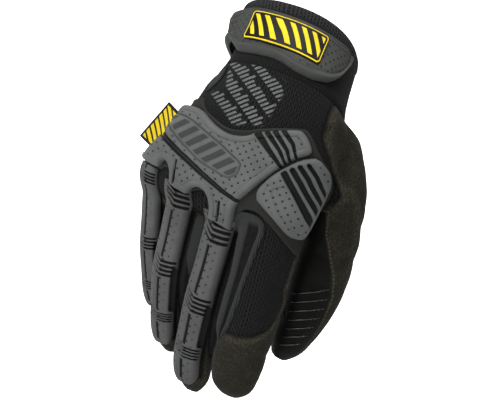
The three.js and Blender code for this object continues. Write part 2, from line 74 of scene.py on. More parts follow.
# A point on the seam down the little finger's side, as shares of the palm's width and depth, and the
# turn of the plane through it
SIDE_SEAM = (-0.29, -0.34)
SIDE_SEAM_TURN = math.radians(9)
LOOK_AT = (0.02164, -0.0157, -0.1061)
CAMERA_ROLL = math.radians(23)
CAMERA_DISTANCE = 0.62
CAMERA_LENS = 73.66
FLOOR_HEIGHT = -0.262


def table(columns, rows):
    return {name: np.array(column, float) for name, column in zip(columns.split(), zip(*rows))}


PALM_ROWS = table("down across lift half back front lean sway", [
    (0, 0, 0, 0.36, 0.6, 0.595, 1, 1),
    (0.323, 0.124, -0.283, 0.38, 0.57, 0.575, 1, 1),
    (0.377, 0.135, -0.346, 0.415, 0.53, 0.567, 0.66, 0.6),
    (0.437, 0.136, -0.383, 0.438, 0.471, 0.587, 0.3, 0.3),
    (0.498, 0.13, -0.398, 0.45, 0.448, 0.606, 0, 0),
    (0.581, 0.109, -0.398, 0.469, 0.437, 0.615, 0, 0),
    (0.687, 0.083, -0.398, 0.483, 0.423, 0.596, 0, 0),
    (0.801, 0.054, -0.398, 0.515, 0.394, 0.548, 0, 0),
    (0.885, 0.04, -0.382, 0.51, 0.308, 0.462, 0, 0),
    (0.952, 0.04, -0.352, 0.457, 0.192, 0.308, 0, 0),
    (0.998, 0.034, -0.321, 0.397, 0.077, 0.135, 0, 0),
])
FINGER_GIRTH = table("along wide deep", [
    (0, 0.66, 0.7), (0.13, 0.96, 0.98), (0.26, 1.04, 1.04), (0.42, 1, 1), (0.58, 1.03, 1.02),
    (0.73, 0.98, 0.94), (0.88, 0.92, 0.84), (0.96, 0.72, 0.62), (1, 0.38, 0.3),
])
THUMB_GIRTH = table("along wide deep", [
    (0, 0.85, 1), (0.205, 1.1, 1.05), (0.358, 1.22, 0.93), (0.542, 1.12, 1.02), (0.721, 1, 1.06),
    (0.871, 0.94, 0.78), (0.958, 0.7, 0.54), (1, 0.36, 0.28),
])
# A digit starts at shares of the palm's width, depth and length. Each bend holds up to a share of the
# digit's length, with its slope in degrees to the thumb side and to the palm
DIGITS = {
    "pinky": {
        "start": (-0.335, -0.438, 0.667), "length": 0.118, "width": 0.0195, "depth": 0.0185, "turn": -16,
        "girth": FINGER_GIRTH, "bends": [(0.31, -1, 13), (0.6, 11, 19), (0.82, 13, 24), (1, 20, 24)],
    },
    "ring": {
        "start": (-0.132, -0.529, 0.667), "length": 0.135, "width": 0.0225, "depth": 0.0205, "turn": -5,
        "girth": FINGER_GIRTH, "bends": [(0.26, 2, 12), (0.57, 3, 13), (0.8, 5, 25), (1, 9, 26)],
    },
    "middle": {
        "start": (0.153, -0.548, 0.672), "length": 0.151, "width": 0.0245, "depth": 0.022, "turn": 0,
        "girth": FINGER_GIRTH, "bends": [(0.25, 0, 15), (0.57, -2, 16), (0.82, -1, 19), (1, 4, 27)],
    },
    "index": {
        "start": (0.393, -0.548, 0.672), "length": 0.14, "width": 0.033, "depth": 0.025, "turn": 15,
        "girth": FINGER_GIRTH, "bends": [(0.28, 4, 15), (0.59, 2, 14), (0.8, -4, 18), (1, -6, 27)],
    },
    "thumb": {
        "start": (0.307, -0.314, 0.226), "length": 0.173, "width": 0.028, "depth": 0.033, "turn": 150,
        "girth": THUMB_GIRTH,
        "bends": [
            (0.241, 31, 25), (0.363, 31, 18), (0.544, 5, 15), (0.724, 3, 8), (0.871, -6, 5), (1, -14, 3),
        ],
    },
}
# The knit on each finger: from and to in degrees round it, and the share of its length where it ends
KNIT_RANGES = {
    "pinky": (-62, 56, 0.9), "ring": (-60, 56, 0.9), "middle": (-60, 56, 0.9), "index": (-55, 72, 0.74),
}
# Where the knit ends on the index finger: degrees round it, and the share of its length
INDEX_KNIT_END = [(-60, 0.69), (-36, 0.68), (-5, 0.672), (21, 0.65), (51, 0.605), (74, 0.55)]
SIDE_WALLS = {
    "fourchette_index_middle": ("index", "middle"),
    "fourchette_middle_ring": ("middle", "ring"),
    "fourchette_ring_pinky": ("ring", "pinky"),
}

# Outlines laid out as seen from the thumb side of the back: across to the thumb side as a share of
# PALM_WIDTH, and down from the rim as a share of PALM_LENGTH
KNIT_EDGE = [
    (0.289, 0.045), (0.289, 0.337), (0.304, 0.437), (0.41, 0.543), (0.506, 0.628), (0.457, 0.776),
    (0.42, 0.949),
]
FLANGE_OUTLINE = [
    (-0.644, 0.5), (-0.42, 0.487), (-0.36, 0.462), (-0.335, 0.447), (-0.31, 0.497), (-0.228, 0.529),
    (-0.148, 0.548), (-0.062, 0.53), (0.013, 0.492), (0.191, 0.431), (0.235, 0.429), (0.331, 0.513),
    (0.405, 0.554), (0.473, 0.615), (0.443, 0.747), (0.422, 0.851), (0.42, 0.959), (0.382, 0.939),
    (0.241, 0.876), (0.16, 0.843),
    (0.115, 0.841), (0.084, 0.857), (0.069, 0.899), (-0.066, 0.899), (-0.08, 0.866), (-0.121, 0.847),
    (-0.162, 0.847), (-0.2, 0.869), (-0.209, 0.885), (-0.304, 0.87), (-0.328, 0.833), (-0.358, 0.811),
    (-0.388, 0.815), (-0.393, 0.839), (-0.644, 0.823),
]
KNUCKLE_OUTLINE = [
    (-0.644, 0.525), (-0.462, 0.578), (-0.411, 0.515), (-0.305, 0.506), (-0.251, 0.538), (-0.172, 0.566),
    (-0.099, 0.569), (-0.027, 0.547), (0.002, 0.516), (0.172, 0.447), (0.214, 0.442), (0.277, 0.495),
    (0.285, 0.521), (0.218, 0.566), (0.168, 0.632), (0.117, 0.709), (0.074, 0.779), (0.05, 0.82),
    (0.043, 0.854), (0.058, 0.9), (0.078, 0.962), (0.01, 0.955), (-0.062, 0.942), (-0.066, 0.912),
    (-0.077, 0.885), (-0.102, 0.852), (-0.135, 0.833), (-0.174, 0.834), (-0.2, 0.85), (-0.2, 0.882),
    (-0.26, 0.876), (-0.32, 0.868), (-0.325, 0.842), (-0.342, 0.81), (-0.362, 0.79), (-0.388, 0.783),
    (-0.402, 0.797), (-0.402, 0.826), (-0.45, 0.826), (-0.5, 0.822), (-0.644, 0.812),
]
SIDE_OUTLINE = [
    (0.114, 0.749), (0.146, 0.678), (0.172, 0.641), (0.233, 0.574), (0.264, 0.548), (0.305, 0.528),
    (0.338, 0.53), (0.391, 0.559), (0.411, 0.591), (0.42, 0.62), (0.419, 0.675), (0.408, 0.822),
    (0.399, 0.86), (0.382, 0.881), (0.345, 0.885), (0.314, 0.877), (0.182, 0.811), (0.127, 0.788),
]
KNUCKLE_GROOVES = [
    [(0.011, 0.518), (0.092, 0.569), (0.176, 0.618)],
    [(0.052, 0.5), (0.143, 0.556), (0.195, 0.603)],
    [(0.086, 0.485), (0.174, 0.542), (0.213, 0.589)],
    [(0.123, 0.47), (0.19, 0.51), (0.231, 0.563)],
]
LONG_GROOVE = [
    (-0.482, 0.653), (-0.422, 0.696), (-0.328, 0.729), (-0.166, 0.776), (-0.029, 0.809), (0.051, 0.821),
]
SIDE_GROOVES = [
    [(0.204, 0.638), (0.27, 0.69), (0.419, 0.816)],
    [(0.234, 0.612), (0.288, 0.651), (0.423, 0.77)],
    [(0.261, 0.588), (0.311, 0.621), (0.425, 0.727)],
    [(0.293, 0.567), (0.344, 0.601), (0.424, 0.682)],
]
PANEL_OUTLINE = [
    (-0.469, 0.599), (-0.47, 0.569), (-0.338, 0.565), (-0.116, 0.628), (-0.002, 0.669), (-0.001, 0.722),
    (-0.039, 0.752), (-0.206, 0.73), (-0.366, 0.668), (-0.466, 0.613),
]
KNUCKLE_SLOTS = [
    [(-0.317, 0.765), (-0.292, 0.854)], [(-0.032, 0.852), (-0.003, 0.937)], [(-0.502, 0.692), (-0.503, 0.78)],
]
SIDE_FIELD = [(0.163, 0.73), (0.246, 0.676), (0.385, 0.784), (0.382, 0.831), (0.351, 0.858), (0.288, 0.836)]
GUSSET_OUTLINE = [(-0.278, 0.266), (-0.306, 0.307), (-0.346, 0.367), (-0.337, 0.44), (-0.284, 0.352)]
PRINT_OUTLINE = [
    (-0.302, 0.217), (-0.152, 0.177), (0.03, 0.262), (0.045, 0.33), (0.014, 0.484), (-0.15, 0.53),
    (-0.19, 0.495), (-0.33, 0.42), (-0.251, 0.385),
]
# Finger guards: from and to as shares of the finger, where each group of ribs starts, and the ribs'
# step in millimetres
GUARDED_FINGERS = {
    "middle": {"start": 0.2, "end": 0.94, "ribs": (0.228, 0.548, 0.77), "pitches": (3.5, 2.8, 1.9)},
    "ring": {"start": 0.17, "end": 0.94, "ribs": (0.19, 0.525, 0.77), "pitches": (3.3, 2.4, 1.6)},
    "pinky": {"start": 0.16, "end": 0.93, "ribs": (0.195, 0.54, 0.778), "pitches": (2, 2, 1.5)},
}
# The strap's edges: degrees round the cuff, and down from the rim as a share of PALM_LENGTH
STRAP_TOP = [
    (-150, 0.068), (-52, 0.068), (-25, 0.062), (0, 0.072), (24, 0.074), (55, 0.064), (67, 0.057), (77, 0.075),
]
STRAP_BOTTOM = [
    (-150, 0.21), (-72, 0.205), (-60, 0.212), (-50, 0.246), (-38, 0.28), (-20, 0.289), (0, 0.29),
    (21, 0.306), (42, 0.293), (55, 0.262), (64, 0.215), (72, 0.14), (77, 0.085),
]
# The plate's upper and lower corners on the strap, in the same terms
BADGE_CORNERS = [[(-25, 0.094), (41, 0.1)], [(-33, 0.244), (36, 0.256)]]
# The raised seam beside the thumb's root, in the layout plane
THUMB_PIPING = [
    (0.47, 0.63), (0.542, 0.592), (0.6, 0.63), (0.663, 0.724), (0.688, 0.829), (0.708, 0.936), (0.733, 1),
]
# Where the thumb's smooth inner leather ends: share of its length, and degrees round it
THUMB_BORDER = [(0.4, -150), (0.5, -140), (0.58, -115), (0.638, -99), (0.713, -84), (0.8, -78), (1, -70)]
# The right edge of the rolled cloth on the index finger's side: share, and degrees round the finger
ROLL_EDGE = [(0.15, -8), (0.22, -5), (0.33, -12), (0.45, -20), (0.56, -23), (0.66, -27), (0.76, -32)]
# Leaf shaped side walls that show between the fingers: from and to, in millimetres from the knuckles
LEAVES = {("middle", "ring"): (22, 80), ("ring", "pinky"): (20, 66)}


def hermite(places, values, at):
    """A smooth curve through a table's column."""
    slope = np.gradient(values, places)
    i = np.clip(np.searchsorted(places, at) - 1, 0, len(places) - 2)
    step = places[i + 1] - places[i]
    t = np.clip((at - places[i]) / step, 0, 1)
    low = (2 * t**3 - 3 * t**2 + 1) * values[i] + (t**3 - 2 * t**2 + t) * step * slope[i]
    return low + (3 * t**2 - 2 * t**3) * values[i + 1] + (t**3 - t**2) * step * slope[i + 1]


def row_at(rows, key, at):
    return {name: hermite(rows[key], rows[name], np.asarray(at, float)) for name in rows}


def curve_at(pairs, at):
    places, values = np.array(pairs, float).T
    return hermite(places, values, np.asarray(at, float))


def smooth_step(low, high, value):
    t = np.clip((np.asarray(value) - low) / (high - low), 0, 1)
    return t * t * (3 - 2 * t)


def ridge(value, middle, half):
    """1 where the value is at the middle, and falling off softly on both sides."""
    return np.exp(-(((value - middle) / half) ** 2))


def corner(v):
    return np.sign(v) * np.abs(v) ** (2 / CORNER_POWER)


def unit(v):
    return v / np.maximum(np.linalg.norm(v, axis=-1, keepdims=True), 1e-12)


def palm_frame(share):
    s = row_at(PALM_ROWS, "down", share)
    tilt = np.tan(s["lean"] * CUFF_LEAN)
    sway = -np.tan(s["sway"] * CUFF_SWAY)
    along = unit(np.stack([sway, tilt, np.ones_like(tilt)], -1))
    side = unit(np.array([1.0, 0, 0]) - along * along[..., 0:1])
    down = np.asarray(share, float)
    middle = np.stack([s["across"] * PALM_WIDTH, s["lift"] * PALM_DEPTH, -down * PALM_LENGTH], -1)
    return s, middle, side, np.cross(along, side), along


def palm_points(share, angle, grow):
    """Points round the palm and cuff: angle 0 is the back of the hand, more is to the thumb side."""
    share, angle, grow = np.broadcast_arrays(np.asarray(share, float), np.asarray(angle, float), grow)
    s, middle, side, front, _ = palm_frame(share)
    to_back = corner(np.cos(angle))
    deep = np.where(to_back > 0, s["back"], s["front"]) * PALM_DEPTH + grow
    wide = corner(np.sin(angle)) * (s["half"] * PALM_WIDTH + grow)
    return middle + side * wide[..., None] - front * (to_back * deep)[..., None]


def digit_line(digit, share):
    share = np.asarray(share, float)
    start = np.array(digit["start"]) * (PALM_WIDTH, PALM_DEPTH, -PALM_LENGTH)
    at = np.zeros(share.shape + (3,)) + start
    done = 0.0
    last = len(digit["bends"]) - 1
    for n, (up_to, side, flex) in enumerate(digit["bends"]):
        reach = (share if n == last else np.minimum(share, up_to)) - done
        reach = reach if n == 0 else np.maximum(reach, 0)
        way = unit(np.array([math.tan(math.radians(side)), math.tan(math.radians(flex)), -1.0]))
        at = at + reach[..., None] * way * digit["length"]
        done = up_to
    return at


def digit_frame(digit, share):
    ahead = digit_line(digit, np.asarray(share) + 0.06)
    behind = digit_line(digit, np.asarray(share) - 0.06)
    middle = (2 * digit_line(digit, share) + ahead + behind) / 4
    along = unit(ahead - behind)
    plain_back = unit(np.array([0, -1.0, 0]) + along * along[..., 1:2])
    plain_side = np.cross(plain_back, along)
    turn = math.radians(digit["turn"])
    back = plain_back * math.cos(turn) + plain_side * math.sin(turn)
    return middle, back, np.cross(back, along), along


def digit_points(digit, share, angle, grow):
    share, angle, grow = np.broadcast_arrays(np.asarray(share, float), np.asarray(angle, float), grow)
    middle, back, side, _ = digit_frame(digit, share)
    girth = row_at(digit["girth"], "along", share)
    wide = corner(np.sin(angle)) * (girth["wide"] * digit["width"] / 2 + grow)
    deep = corner(np.cos(angle)) * (girth["deep"] * digit["depth"] / 2 + grow)
    return middle + side * wide[..., None] + back * deep[..., None]


def laid_out(points):
    """Where points lie in the layout plane, in metres across and down."""
    return np.stack([points @ VIEW_RIGHT, -points[..., 2]], -1)


def sized(outline):
    return np.array(outline) * (PALM_WIDTH, PALM_LENGTH)


def rounded_outline(outline, cuts=(0.25, 0.25)):
    """The outline with its corners cut again and again, until they are round."""
    points = sized(outline)
    for cut in cuts:
        after = np.roll(points, -1, 0)
        first, second = points * (1 - cut) + after * cut, points * cut + after * (1 - cut)
        points = np.stack([first, second], 1).reshape(-1, 2)
    return points


def line_distance(at, line):
    """Distance to an open line, and how far along it the nearest point lies, from 0 to 1."""
    line = np.asarray(line)
    steps = np.linalg.norm(np.diff(line, axis=0), axis=1)
    before = np.concatenate([[0], np.cumsum(steps)])
    best = np.full(len(at), 1e9)
    place = np.zeros(len(at))
    for n, (a, b) in enumerate(zip(line[:-1], line[1:])):
        t = np.clip(((at - a) @ (b - a)) / ((b - a) @ (b - a)), 0, 1)
        reach = np.linalg.norm(at - a - t[:, None] * (b - a), axis=1)
        closer = reach < best
        best[closer] = reach[closer]
        place[closer] = (before[n] + t[closer] * steps[n]) / before[-1]
    return best, place


def past_side_seam(points):
    """How far points lie on the back's side of the plane through the little finger's side seam."""
    across, lift = SIDE_SEAM
    way = np.array([math.sin(SIDE_SEAM_TURN), -math.cos(SIDE_SEAM_TURN), 0])
    return (points - (across * PALM_WIDTH, lift * PALM_DEPTH, 0)) @ way


def outline_depth(at, outline):
    """How deep points lie inside a closed outline; outside it is negative."""
    closed = np.vstack([outline, outline[:1]])
    reach, _ = line_distance(at, closed)
    inside = np.zeros(len(at), bool)
    for (ax, ay), (bx, by) in zip(closed[:-1], closed[1:]):
        if ay == by:
            continue
        spans = (ay > at[:, 1]) != (by > at[:, 1])
        inside ^= spans & (at[:, 0] < (bx - ax) * (at[:, 1] - ay) / (by - ay) + ax)
    return np.where(inside, reach, -reach)


def settings():
    return bpy.context.scene.glove_sizes


def colours():
    return bpy.context.scene.glove_colours


# Pieces share the hand's smooth surface, which is made once
hand = {}


def mesh_grid(points, closed=False, caps=False):
    """A bmesh sheet whose grid of points is given; its meeting edges can be joined and its ends capped."""
    rows, columns = points.shape[:2]
    bm = bmesh.new()
    bmesh.ops.create_grid(bm, x_segments=columns - 1, y_segments=rows - 1, size=1)
    for vert, place in zip(bm.verts, points.reshape(-1, 3)):
        vert.co = place
    if closed:
        bmesh.ops.remove_doubles(bm, verts=bm.verts, dist=1e-7)
    if caps:
        bmesh.ops.holes_fill(bm, edges=[edge for edge in bm.edges if edge.is_boundary], sides=0)
    bmesh.ops.recalc_face_normals(bm, faces=bm.faces)
    return bm


def add_piece(name, bm, material):
    mesh = bpy.data.meshes.new(name)
    bm.to_mesh(mesh)
    bm.free()
    piece = bpy.data.objects.new(name, mesh)
    bpy.context.collection.objects.link(piece)
    mesh.materials.append(material)
    mesh.polygons.foreach_set("use_smooth", np.ones(len(mesh.polygons), bool))
    return piece


def keep(piece, slot, *nodes):
    """The piece rides on the glove and stands for its solids; the slot is not used."""
    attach(piece, "root")
    if nodes:
        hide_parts(*nodes)
    return piece


def verts_of(mesh):
    flat = np.empty(len(mesh.vertices) * 3)
    mesh.vertices.foreach_get("co", flat)
    return flat.reshape(-1, 3)


def edges_of(mesh):
    flat = np.empty(len(mesh.edges) * 2, np.int32)
    mesh.edges.foreach_get("vertices", flat)
    return flat.reshape(-1, 2)


def set_verts(mesh, points):
    mesh.vertices.foreach_set("co", np.asarray(points, float).ravel())
    mesh.update()


def normals_of(mesh):
    flat = np.empty(len(mesh.vertices) * 3, np.float32)
    mesh.vertex_normals.foreach_get("vector", flat)
    return flat.reshape(-1, 3).astype(float)


def set_attribute(mesh, name, values):
    mesh.attributes.new(name, "FLOAT", "POINT").data.foreach_set("value", np.asarray(values, np.float32))


def set_uv(mesh, values, period=0):
    """Values for each vertex, in metres, as the piece's own map, which may go round and start again."""
    layer = mesh.uv_layers.new(name="Lay")
    corners = np.empty(len(mesh.loops), np.int32)
    mesh.loops.foreach_get("vertex_index", corners)
    placed = np.asarray(values, float)[corners]
    if period:
        starts = np.empty(len(mesh.polygons), np.int32)
        sizes = np.empty(len(mesh.polygons), np.int32)
        mesh.polygons.foreach_get("loop_start", starts)
        mesh.polygons.foreach_get("loop_total", sizes)
        most = np.repeat(np.maximum.reduceat(placed[:, 0], starts), sizes)
        placed[:, 0] += period * (most - placed[:, 0] > period / 2)
    layer.data.foreach_set("uv", placed.astype(np.float32).ravel())


def tube_coordinates(points, frames, shares):
    """The share along a tube, and the offsets to its side and back, of each point."""
    middle, back, side, along = frames
    pick = np.linspace(0, len(shares) - 1, 60).astype(int)
    nearest = np.empty(len(points), int)
    for start in range(0, len(points), 20000):
        part = points[start:start + 20000]
        gap = ((part[:, None, :] - middle[pick][None]) ** 2).sum(-1)
        nearest[start:start + 20000] = pick[np.argmin(gap, 1)]
    share = shares[nearest]
    speed = (np.gradient(middle, shares, axis=0) * along).sum(-1)

    def at(values, share):
        return np.stack([np.interp(share, shares, values[:, k]) for k in range(3)], -1)

    for _ in range(4):
        ahead = ((points - at(middle, share)) * at(along, share)).sum(-1)
        share = np.clip(share + ahead / np.interp(share, shares, speed), shares[0], shares[-1])
    away = points - at(middle, share)
    return share, (away * at(side, share)).sum(-1), (away * at(back, share)).sum(-1)


def digit_coordinates(name, points):
    """Share, angle in degrees and girth (1 is the cloth's outer face) of each point on a digit."""
    digit = DIGITS[name]
    shares = np.linspace(-0.05, 1.06, 223)
    share, side, back = tube_coordinates(points, digit_frame(digit, shares), shares)
    girth = row_at(digit["girth"], "along", np.clip(share, 0, 1))
    u = side / (girth["wide"] * digit["width"] / 2)
    w = back / (girth["deep"] * digit["depth"] / 2)
    power = CORNER_POWER / 2
    angle = np.degrees(np.arctan2(np.sign(u) * np.abs(u) ** power, np.sign(w) * np.abs(w) ** power))
    return share, angle, (np.abs(u) ** CORNER_POWER + np.abs(w) ** CORNER_POWER) ** (1 / CORNER_POWER)


def palm_coordinates(points):
    shares = np.linspace(0, 1, 201)
    _, middle, side, front, along = palm_frame(shares)
    share, u, w = tube_coordinates(points, (middle, -front, side, -along), shares)
    rows = row_at(PALM_ROWS, "down", share)
    u = u / (rows["half"] * PALM_WIDTH)
    w = w / (np.where(w > 0, rows["back"], rows["front"]) * PALM_DEPTH)
    power = CORNER_POWER / 2
    return share, np.degrees(np.arctan2(np.sign(u) * np.abs(u) ** power, np.sign(w) * np.abs(w) ** power))


def hand_surface():
    """The whole hand as one smooth closed skin, with the places of its points on palm and digits."""
    if hand:
        return hand
    bm = bmesh.new()
    angles = np.linspace(0, 2 * math.pi, 81)
    tubes = [palm_points(np.linspace(0, 1, 60)[:, None], angles[None], 0.0)]
    for digit in DIGITS.values():
        tubes.append(digit_points(digit, np.linspace(0, 1, 90)[:, None], angles[None], 0.0))
    for points in tubes:
        tube = mesh_grid(points, closed=True, caps=True)
        mesh = bpy.data.meshes.new("tube")
        tube.to_mesh(mesh)
        tube.free()
        bm.from_mesh(mesh)
        bpy.data.meshes.remove(mesh)
    mesh = bpy.data.meshes.new("hand")
    bm.to_mesh(mesh)
    bm.free()
    body = bpy.data.objects.new("hand", mesh)
    bpy.context.collection.objects.link(body)
    remesh = body.modifiers.new("One skin", "REMESH")
    remesh.mode = "VOXEL"
    remesh.voxel_size = settings().skin_detail * 1
    soften = body.modifiers.new("Soften", "SMOOTH")
    soften.factor = 0.5
    soften.iterations = 8
    even = body.modifiers.new("Triangles", "TRIANGULATE")
    even.quad_method = "SHORTEST_DIAGONAL"
    bpy.context.view_layer.update()
    skin = bpy.data.meshes.new_from_object(body.evaluated_get(bpy.context.evaluated_depsgraph_get()))
    bpy.data.objects.remove(body)
    bpy.data.meshes.remove(mesh)
    hand["mesh"] = skin
    hand["points"] = verts_of(skin)
    hand["normals"] = normals_of(skin)
    hand["digits"] = {name: np.stack(digit_coordinates(name, hand["points"])) for name in DIGITS}
    hand["palm"] = np.stack(palm_coordinates(hand["points"]))
    hand["points"] = shaped_cloth(hand["points"], hand["normals"])
    set_verts(skin, hand["points"])
    hand["normals"] = normals_of(skin)
    faces = np.empty(len(skin.polygons) * 3, np.int32)
    skin.polygons.foreach_get("vertices", faces)
    hand["faces"] = faces.reshape(-1, 3)
    hand["tree"] = BVHTree.FromPolygons(hand["points"].tolist(), hand["faces"].tolist())
    return hand


def shaped_cloth(points, normals):
    """Folds, creases and soft swells pressed into the plain hand."""
    lift = np.zeros(len(points))
    at = laid_out(points)
    facing = normals @ VIEW_OUT > -0.1
    for line, width, height in BACK_FOLDS:
        reach, place = line_distance(at, sized(line))
        ends = smooth_step(0, 0.2, place) * smooth_step(1, 0.8, place)
        lift += np.where(facing, ridge(reach, 0, width * MM) * ends * height * MM, 0)
    for name, share, angle, spread, width, height in DIGIT_FOLDS:
        s, a, girth = hand["digits"][name]
        turn = (a - angle + 180) % 360 - 180
        across = (s - share) * DIGITS[name]["length"] / (width * MM)
        lift += np.where(girth < 1.25, np.exp(-(across**2) - (turn / spread) ** 2) * height * MM, 0)
    return points + normals * lift[:, None]


# Folds on the back: a line in the layout plane, half width and height in millimetres
BACK_FOLDS = [
    (THUMB_PIPING, 1.7, 1.0),
    ([(x - 0.026, y + 0.012) for x, y in THUMB_PIPING], 2.0, -0.8),
    ([(0.47, 0.69), (0.54, 0.7), (0.63, 0.69)], 3, -1.6),
    ([(0.3, 0.36), (0.38, 0.42), (0.48, 0.5)], 4.5, -1.2),
    ([(0.33, 0.31), (0.43, 0.37), (0.53, 0.46)], 4, 1.1),
    ([(0.49, 0.62), (0.47, 0.72), (0.46, 0.82)], 4, 1.0),
    ([(-0.36, 0.34), (-0.26, 0.33), (-0.12, 0.36)], 3.5, -1.0),
    ([(-0.37, 0.4), (-0.28, 0.4), (-0.2, 0.42)], 3, 0.8),
]
# Folds across a digit: share, angle, spread in degrees, half width and height in millimetres
DIGIT_FOLDS = [
    ("thumb", 0.47, -75, 60, 4, -1.2), ("thumb", 0.53, -90, 55, 3.5, 0.9), ("thumb", 0.585, -85, 60, 3, -1.1),
    ("thumb", 0.64, -95, 50, 3, 0.6), ("thumb", 0.69, -100, 50, 2.6, -0.7),
    ("index", 0.43, 90, 60, 3, -0.8), ("index", 0.5, 95, 60, 3, 0.6), ("index", 0.56, 90, 60, 2.6, -0.8),
    ("index", 0.75, 80, 60, 2.4, -0.5), ("index", 0.85, 40, 60, 2.4, -0.4),
]


def panel_fields(points):
    """For each panel of cloth, how deep each point lies inside it, in metres."""
    at = laid_out(points)
    fields = {}
    share, angle, girth = hand["digits"]["thumb"]
    fields["thumb_leather"] = np.where(girth < 1.35, (share - THUMB_SEAM) * DIGITS["thumb"]["length"], -0.05)
    for name, (near, far) in SIDE_WALLS.items():
        leaves = []
        for digit, sign in ((near, -1), (far, 1)):
            share, angle, girth = hand["digits"][digit]
            full = 1 - 0.75 * np.abs(np.clip(2 * (share - 0.22) / 0.58 - 1, -1.2, 1.2)) ** 3
            radius = DIGITS[digit]["width"] / 2
            wide = (33 * full - np.abs(angle * sign - 89)) * math.pi / 180 * radius
            long = np.minimum(share - 0.22, 0.8 - share) * DIGITS[digit]["length"]
            leaves.append(np.where(girth < 1.2, np.minimum(wide, long), -0.05))
        fields[name] = np.maximum(*leaves)
    edge = sized(KNIT_EDGE)
    right = np.interp(at[:, 1], edge[:, 1], edge[:, 0]) - at[:, 0]
    knit = np.minimum.reduce([right, past_side_seam(points), edge[-1, 1] - at[:, 1]])
    for name, (low, high, end) in KNIT_RANGES.items():
        share, angle, girth = hand["digits"][name]
        radius = DIGITS[name]["width"] / 2
        wide = np.minimum(angle - low, high - angle) * math.pi / 180 * radius
        if name == "index":
            end = np.interp(angle, *np.array(INDEX_KNIT_END).T)
        long = np.minimum(share - 0.1, end - share) * DIGITS[name]["length"]
        knit = np.maximum(knit, np.where(girth < 1.2, np.minimum(wide, long), -0.05))
    fields["back_knit"] = knit
    _, middle, _, _, along = palm_frame(np.array(CUFF_DROP / PALM_LENGTH))
    fields["below_cuff"] = -(points - middle) @ along
    return fields


def snap(points, edges, field, others):
    """Brings the nearer end of each edge that crosses a border onto the border."""
    a, b = edges.T
    crossing = field[a] * field[b] < 0
    a, b = a[crossing], b[crossing]
    t = field[a] / (field[a] - field[b])
    near = np.where(t < 0.5, a, b)
    place = points[a] + (points[b] - points[a]) * t[:, None]
    mixed = [value[a] + (value[b] - value[a]) * t for value in others]
    order = np.argsort(-np.abs(t - 0.5))[::-1]
    near = near[order]
    points[near] = place[order]
    for value, mix in zip(others, mixed):
        value[near] = mix[order]
    field[near] = 0


def cloth_panels():
    """The skin cut into panels along its seams, with a shallow valley at each seam."""
    skin = hand_surface()
    points = skin["points"].copy()
    fields = panel_fields(skin["points"])
    below = fields.pop("below_cuff")
    edges = edges_of(skin["mesh"])
    values = list(fields.values()) + [below]
    maps = [row for part in skin["digits"].values() for row in part] + list(skin["palm"])
    for field in values:
        snap(points, edges, field, [v for v in values if v is not field] + maps)
    faces = skin["faces"]
    label = np.full(len(faces), "palm_leather", object)
    free = np.ones(len(faces), bool)
    inside = below[faces].sum(1) > 0
    label[~inside] = "none"
    free &= inside
    for name, field in fields.items():
        chosen = free & (field[faces].sum(1) > 0)
        label[chosen] = name
        free &= ~chosen
    dip = np.zeros(len(points))
    open_left = np.ones(len(points))
    for name, field in fields.items():
        dip = np.maximum(dip, ridge(field, 0, 0.0014) * open_left)
        if name == "thumb_leather":
            dip *= 0.2
        open_left = np.where(field > 0.0008, 0, open_left)
    points = points - skin["normals"] * (dip * settings().seam_dip)[:, None]
    skin["panels"] = points
    skin["labels"] = label
    skin["fields"] = fields
    skin["seams"] = dip


def panel_piece(name, material):
    """One panel of cloth, with its map along the palm or the digit that it covers."""
    mesh = hand["mesh"].copy()
    set_verts(mesh, hand["panels"])
    digits = list(hand["digits"])
    girths = np.stack([hand["digits"][d][2] for d in digits])
    shares = np.stack([hand["digits"][d][0] for d in digits])
    off = np.where((shares > 0.12) & (shares < 1.05), np.abs(girths - 1), 9)
    owner = np.where(off.min(0) < 0.12, off.argmin(0), -1)
    palm_share, palm_angle = hand["palm"]
    u = np.radians(palm_angle) * CUFF_RADIUS
    v = palm_share * PALM_LENGTH
    # Each digit's part of the map lies apart from the palm's and from the other digits'
    for k, digit in enumerate(digits):
        share, angle, _ = hand["digits"][digit]
        mine = owner == k
        u[mine] = np.radians(angle[mine]) * DIGITS[digit]["width"] / 2 + 0.1 * k
        v[mine] = share[mine] * DIGITS[digit]["length"] + 0.2
    set_uv(mesh, np.stack([u, v], -1))
    at = laid_out(hand["panels"])
    set_attribute(mesh, "seam", hand["seams"])
    set_attribute(mesh, "printed", smooth_step(0, 0.001, outline_depth(at, sized(PRINT_OUTLINE))))
    knit_depth = hand["fields"]["back_knit"]
    beside_knit = ridge(knit_depth, -0.0032, 0.0026)
    on_piping = ridge(line_distance(at, sized(THUMB_PIPING))[0], 0, 0.0018)
    on_piping *= hand["normals"] @ VIEW_OUT > -0.1
    set_attribute(mesh, "worn", np.maximum(beside_knit, on_piping * 0.7))
    set_attribute(mesh, "outer", from_thumb_border() if name == "thumb_leather" else np.ones(len(at)))
    bm = bmesh.new()
    bm.from_mesh(mesh)
    bpy.data.meshes.remove(mesh)
    others = [face for face, label in zip(bm.faces, hand["labels"]) if label != name]
    bmesh.ops.delete(bm, geom=others, context="FACES")
    piece = add_piece(name + "_cloth", bm, material)
    wall = piece.modifiers.new("Cloth wall", "SOLIDIFY")
    wall.thickness = settings().cloth_wall
    wall.offset = -1
    return piece


def from_thumb_border():
    """How far each point of the thumb lies outside its smooth inner leather, in metres."""
    digit = DIGITS["thumb"]
    share, angle, _ = hand["digits"]["thumb"]
    turned = np.where(angle > 150, angle - 360, angle)
    aside = np.radians(turned - np.interp(share, *np.array(THUMB_BORDER).T)) * digit["width"] / 2
    return np.maximum(aside, (0.43 - share) * digit["length"])


